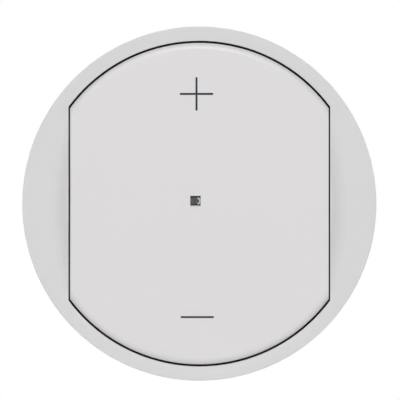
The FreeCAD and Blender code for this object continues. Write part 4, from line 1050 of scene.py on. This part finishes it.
@dataclass
class PowerParts(SubAssembly):
    """The choke, the capacitors, the fuse and the triac on its heat sink."""

    wire_radius: float = 0.33 * MM
    wire_seat: float = 0.35 * MM
    core_outer: float = 5.8 * MM
    core_inner: float = 3.2 * MM
    turns: int = 15
    turn_steps: int = 24
    wound_share: float = 0.94
    first_turn: float = 0.06 * math.pi
    corner: float = 0.2
    stripe_x: float = -10.6 * MM
    bolt_shank: float = 22.3 * MM

    def build(self) -> None:
        """Dress the power parts and wind the choke."""
        ferrite = SpeckledBody(from_screen(70, 71, 74), from_screen(104, 104, 106), 0.18 * MM, 0.62)
        self.dress(ferrite, "ferrite", "choke_core")
        enamel = EnamelledWire(from_screen(206, 122, 66), from_screen(134, 66, 34))
        self.dress(enamel, "copper_wire", "choke_winding")
        self.wind_choke()
        bolt = ThreadedMetal(from_screen(196, 199, 204), from_screen(150, 150, 142), self.bolt_shank)
        self.dress(bolt, "zinc_steel_bolt", "triac_screw")
        box = MouldedPlastic(from_screen(196, 152, 62), Grain.SATIN, 0.38, 0.06)
        self.dress(box, "capacitor_plastic", "filter_capacitor")
        sleeve = SleeveFilm(from_screen(34, 40, 62), from_screen(206, 208, 212), self.stripe_x)
        self.dress(sleeve, "capacitor_sleeve", "smoothing_capacitor")
        case = MouldedPlastic(from_screen(58, 50, 46), Grain.POLISHED, 0.34, 0.12)
        self.dress(case, "fuse_plastic", "fuse")
        sink = WorkedMetal(from_screen(208, 210, 212), from_screen(170, 171, 172), Direction.ACROSS, 0.32)
        self.dress(sink, "sink_aluminium", "heat_sink")
        pad = WovenPad(from_screen(142, 148, 158), from_screen(176, 180, 186), 0.35 * MM)
        self.dress(pad, "pad_rubber", "insulating_pad")

    def wind_choke(self) -> None:
        """Wind round wire through the choke's ring core, in place of the plain solids."""
        low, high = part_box("choke_core")
        middle = self.middle("choke_core")
        half_depth = (high[1] - low[1]) / 2 + self.wire_seat
        half_wide = (self.core_outer - self.core_inner) / 2 + self.wire_seat
        ring = (self.core_outer + self.core_inner) / 2
        curve = bpy.data.curves.new("choke_turns", "CURVE")
        curve.dimensions = "3D"
        curve.bevel_depth = self.wire_radius
        curve.bevel_resolution = 3
        curve.use_fill_caps = True
        spline = curve.splines.new("POLY")
        steps = self.turns * self.turn_steps
        spline.points.add(steps)
        for step in range(steps + 1):
            turn = 2 * math.pi * step / self.turn_steps
            around = 2 * math.pi * self.wound_share * step / steps + self.first_turn
            out = ring + half_wide * self.squared(math.cos(turn))
            depth = middle.y + half_depth * self.squared(math.sin(turn))
            across, up = middle.x + out * math.cos(around), middle.z + out * math.sin(around)
            spline.points[step].co = (across, depth, up, 1.0)
        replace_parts(self.place("choke_turns", curve, "copper_wire"), "choke_winding")

    def squared(self, share: float) -> float:
        """Push a sine toward its limits, so that a circle becomes a rounded square."""
        return math.copysign(abs(share) ** self.corner, share)


@dataclass
class Terminals(SubAssembly):
    """The three wire terminals with their bars and release buttons."""

    brass: Colour = from_screen(208, 178, 112)
    dull_brass: Colour = from_screen(148, 116, 62)
    button_tone: Colour = from_screen(226, 132, 48)
    leaf_slant: Vector = field(default_factory=lambda: Vector((0.0, 5.44 * MM, 1.19 * MM)))

    def build(self) -> None:
        """Dress the bars and the release buttons, and hang the clamp leaves between them."""
        bar = WorkedMetal(self.brass, self.dull_brass, Direction.UPWARD, 0.28)
        self.dress(bar, "terminal_brass", *TERMINAL_BARS)
        button = MouldedPlastic(self.button_tone, Grain.SATIN, 0.4, 0.06)
        self.dress(button, "button_plastic", *RELEASE_BUTTONS)
        for wire in ("line", "load", "aux"):
            node = f"terminal_spring_{wire}"
            low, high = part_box(node)
            root = Vector((low.x, low.y, high.z))
            self.spring(f"clamp_leaf_{wire}", node, f"release_{wire}", root, root + self.leaf_slant)


@dataclass
class Studio:
    """The pale floor, the soft lamps, the white surroundings and the camera."""

    camera_x: float = 0.12 * MM
    camera_z: float = 0.65 * MM
    face_y: float = -10.3 * MM
    distance: float = 3.0
    frame_width: float = 72.26 * MM
    sensor: float = 36.0
    floor_z: float = -56.0 * MM
    floor_half: float = 0.7
    floor_cuts: int = 12
    paper_fibre: float = 3.0 * MM
    paper_relief: float = 0.02 * MM
    far: float = 20.0
    ambient: float = 0.05
    lamps: Sequence[tuple[str, tuple[float, float, float], float, float]] = field(
        default_factory=lambda: (
            ("key", (0.0, -1.15, 0.95), 0.8, 0.735),
            ("fill", (0.0, -1.45, -0.15), 0.6, 0.06),
            ("left_rear", (-1.10, 0.75, 0.35), 0.7, 0.52),
            ("right_rear", (1.10, 0.75, 0.35), 0.7, 0.52),
            ("back", (0.0, 1.30, 0.60), 0.9, 0.36),
        )
    )

    def build(self) -> None:
        """Make the floor, the lamps, the surroundings and the camera."""
        self.lay_floor()
        for name, place, size, level in self.lamps:
            self.hang_lamp(name, Vector(place), size, level)
        self.surround()
        self.aim_camera()

    def lay_floor(self) -> None:
        """Make a pale floor whose far edge stays below the picture."""
        mesh = bmesh.new()
        half = self.floor_half
        corners = [
            mesh.verts.new((x, y, self.floor_z))
            for x, y in ((-half, -half), (half, -half), (half, half), (-half, half))
        ]
        mesh.faces.new(corners)
        edges = mesh.edges[:]
        bmesh.ops.subdivide_edges(mesh, edges=edges, cuts=self.floor_cuts, use_grid_fill=True)
        data = bpy.data.meshes.new("studio_floor")
        mesh.to_mesh(data)
        mesh.free()
        floor = bpy.data.objects.new("studio_floor", data)
        bpy.context.scene.collection.objects.link(floor)
        data.materials.append(self.floor_finish())

    def floor_finish(self) -> bpy.types.Material:
        """Make the floor's finish of pale matt paper.

        Returns:
            The finished material.
        """
        recipe = Recipe("studio_paper")
        fibre = recipe.noise(self.paper_fibre, 4.0)
        pale, shaded = from_screen(250, 250, 249), from_screen(246, 246, 245)
        return recipe.finished(
            {
                "Base Color": recipe.mixed(fibre * 0.3, pale, shaded),
                "Roughness": 0.9 - fibre * 0.05,
                "Normal": recipe.bumped(fibre, self.paper_relief),
            }
        )

    def hang_lamp(self, name: str, place: Vector, size: float, level: float) -> None:
        """Add a soft square lamp that looks at the object.

        Args:
            name: The lamp's name.
            place: Where it hangs, in metres.
            size: The length of its sides in metres.
            level: How bright a white card that faces it becomes, from 0 to 1.
        """
        lamp = bpy.data.lights.new(name, "AREA")
        lamp.shape = "SQUARE"
        lamp.size = size
        distance = place.length
        lamp.energy = level * math.pi * math.pi * distance**2
        holder = bpy.data.objects.new(name, lamp)
        holder.location = place
        holder.rotation_euler = (-place).to_track_quat("-Z", "Y").to_euler()
        bpy.context.scene.collection.objects.link(holder)

    def surround(self) -> None:
        """Give the world a low even light and a white look to the camera and to gloss."""
        world = bpy.data.worlds.new("studio")
        world.use_nodes = True
        bpy.context.scene.world = world
        canvas = Canvas(world.node_tree)
        by_type = {node.type: node for node in canvas.tree.nodes}
        canvas.tree.nodes.remove(by_type["BACKGROUND"])
        seen = canvas.node("ShaderNodeLightPath", {}, {}, "Is Camera Ray")
        for name in ("Is Glossy Ray", "Is Transmission Ray"):
            seen = seen.combined("MAXIMUM", seen, canvas.node("ShaderNodeLightPath", {}, {}, name))
        white = (1.0, 1.0, 1.0)
        dim = canvas.node("ShaderNodeBackground", {}, {"Color": white, "Strength": self.ambient})
        bright = canvas.node("ShaderNodeBackground", {}, {"Color": white, "Strength": 1.0})
        chosen = canvas.node("ShaderNodeMixShader", {}, {0: seen, 1: dim, 2: bright})
        canvas.feed(by_type["OUTPUT_WORLD"].inputs["Surface"], chosen)

    def aim_camera(self) -> None:
        """Place the camera straight in front, as the photograph was taken."""
        camera = bpy.data.cameras.new("photographer")
        camera.type = "PERSP"
        camera.sensor_width = self.sensor
        camera.lens = self.sensor * self.distance / self.frame_width
        camera.clip_end = self.far
        holder = bpy.data.objects.new("photographer", camera)
        holder.location = (self.camera_x, self.face_y - self.distance, self.camera_z)
        holder.rotation_euler = (math.pi / 2, 0.0, 0.0)
        bpy.context.scene.collection.objects.link(holder)
        bpy.context.scene.camera = holder


def main() -> None:
    """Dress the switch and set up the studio."""
    logging.basicConfig(level=logging.INFO, format="%(name)s: %(message)s")
    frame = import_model()
    nodes = frame["nodes"]
    for sub_assembly in (Cover, RockerPlate, Housing, PressTrain, Boards, PowerParts, Terminals):
        sub_assembly(nodes).build()
    Studio().build()
    bpy.context.scene.view_settings.view_transform = "Standard"


if __name__ == "__main__":
    main()
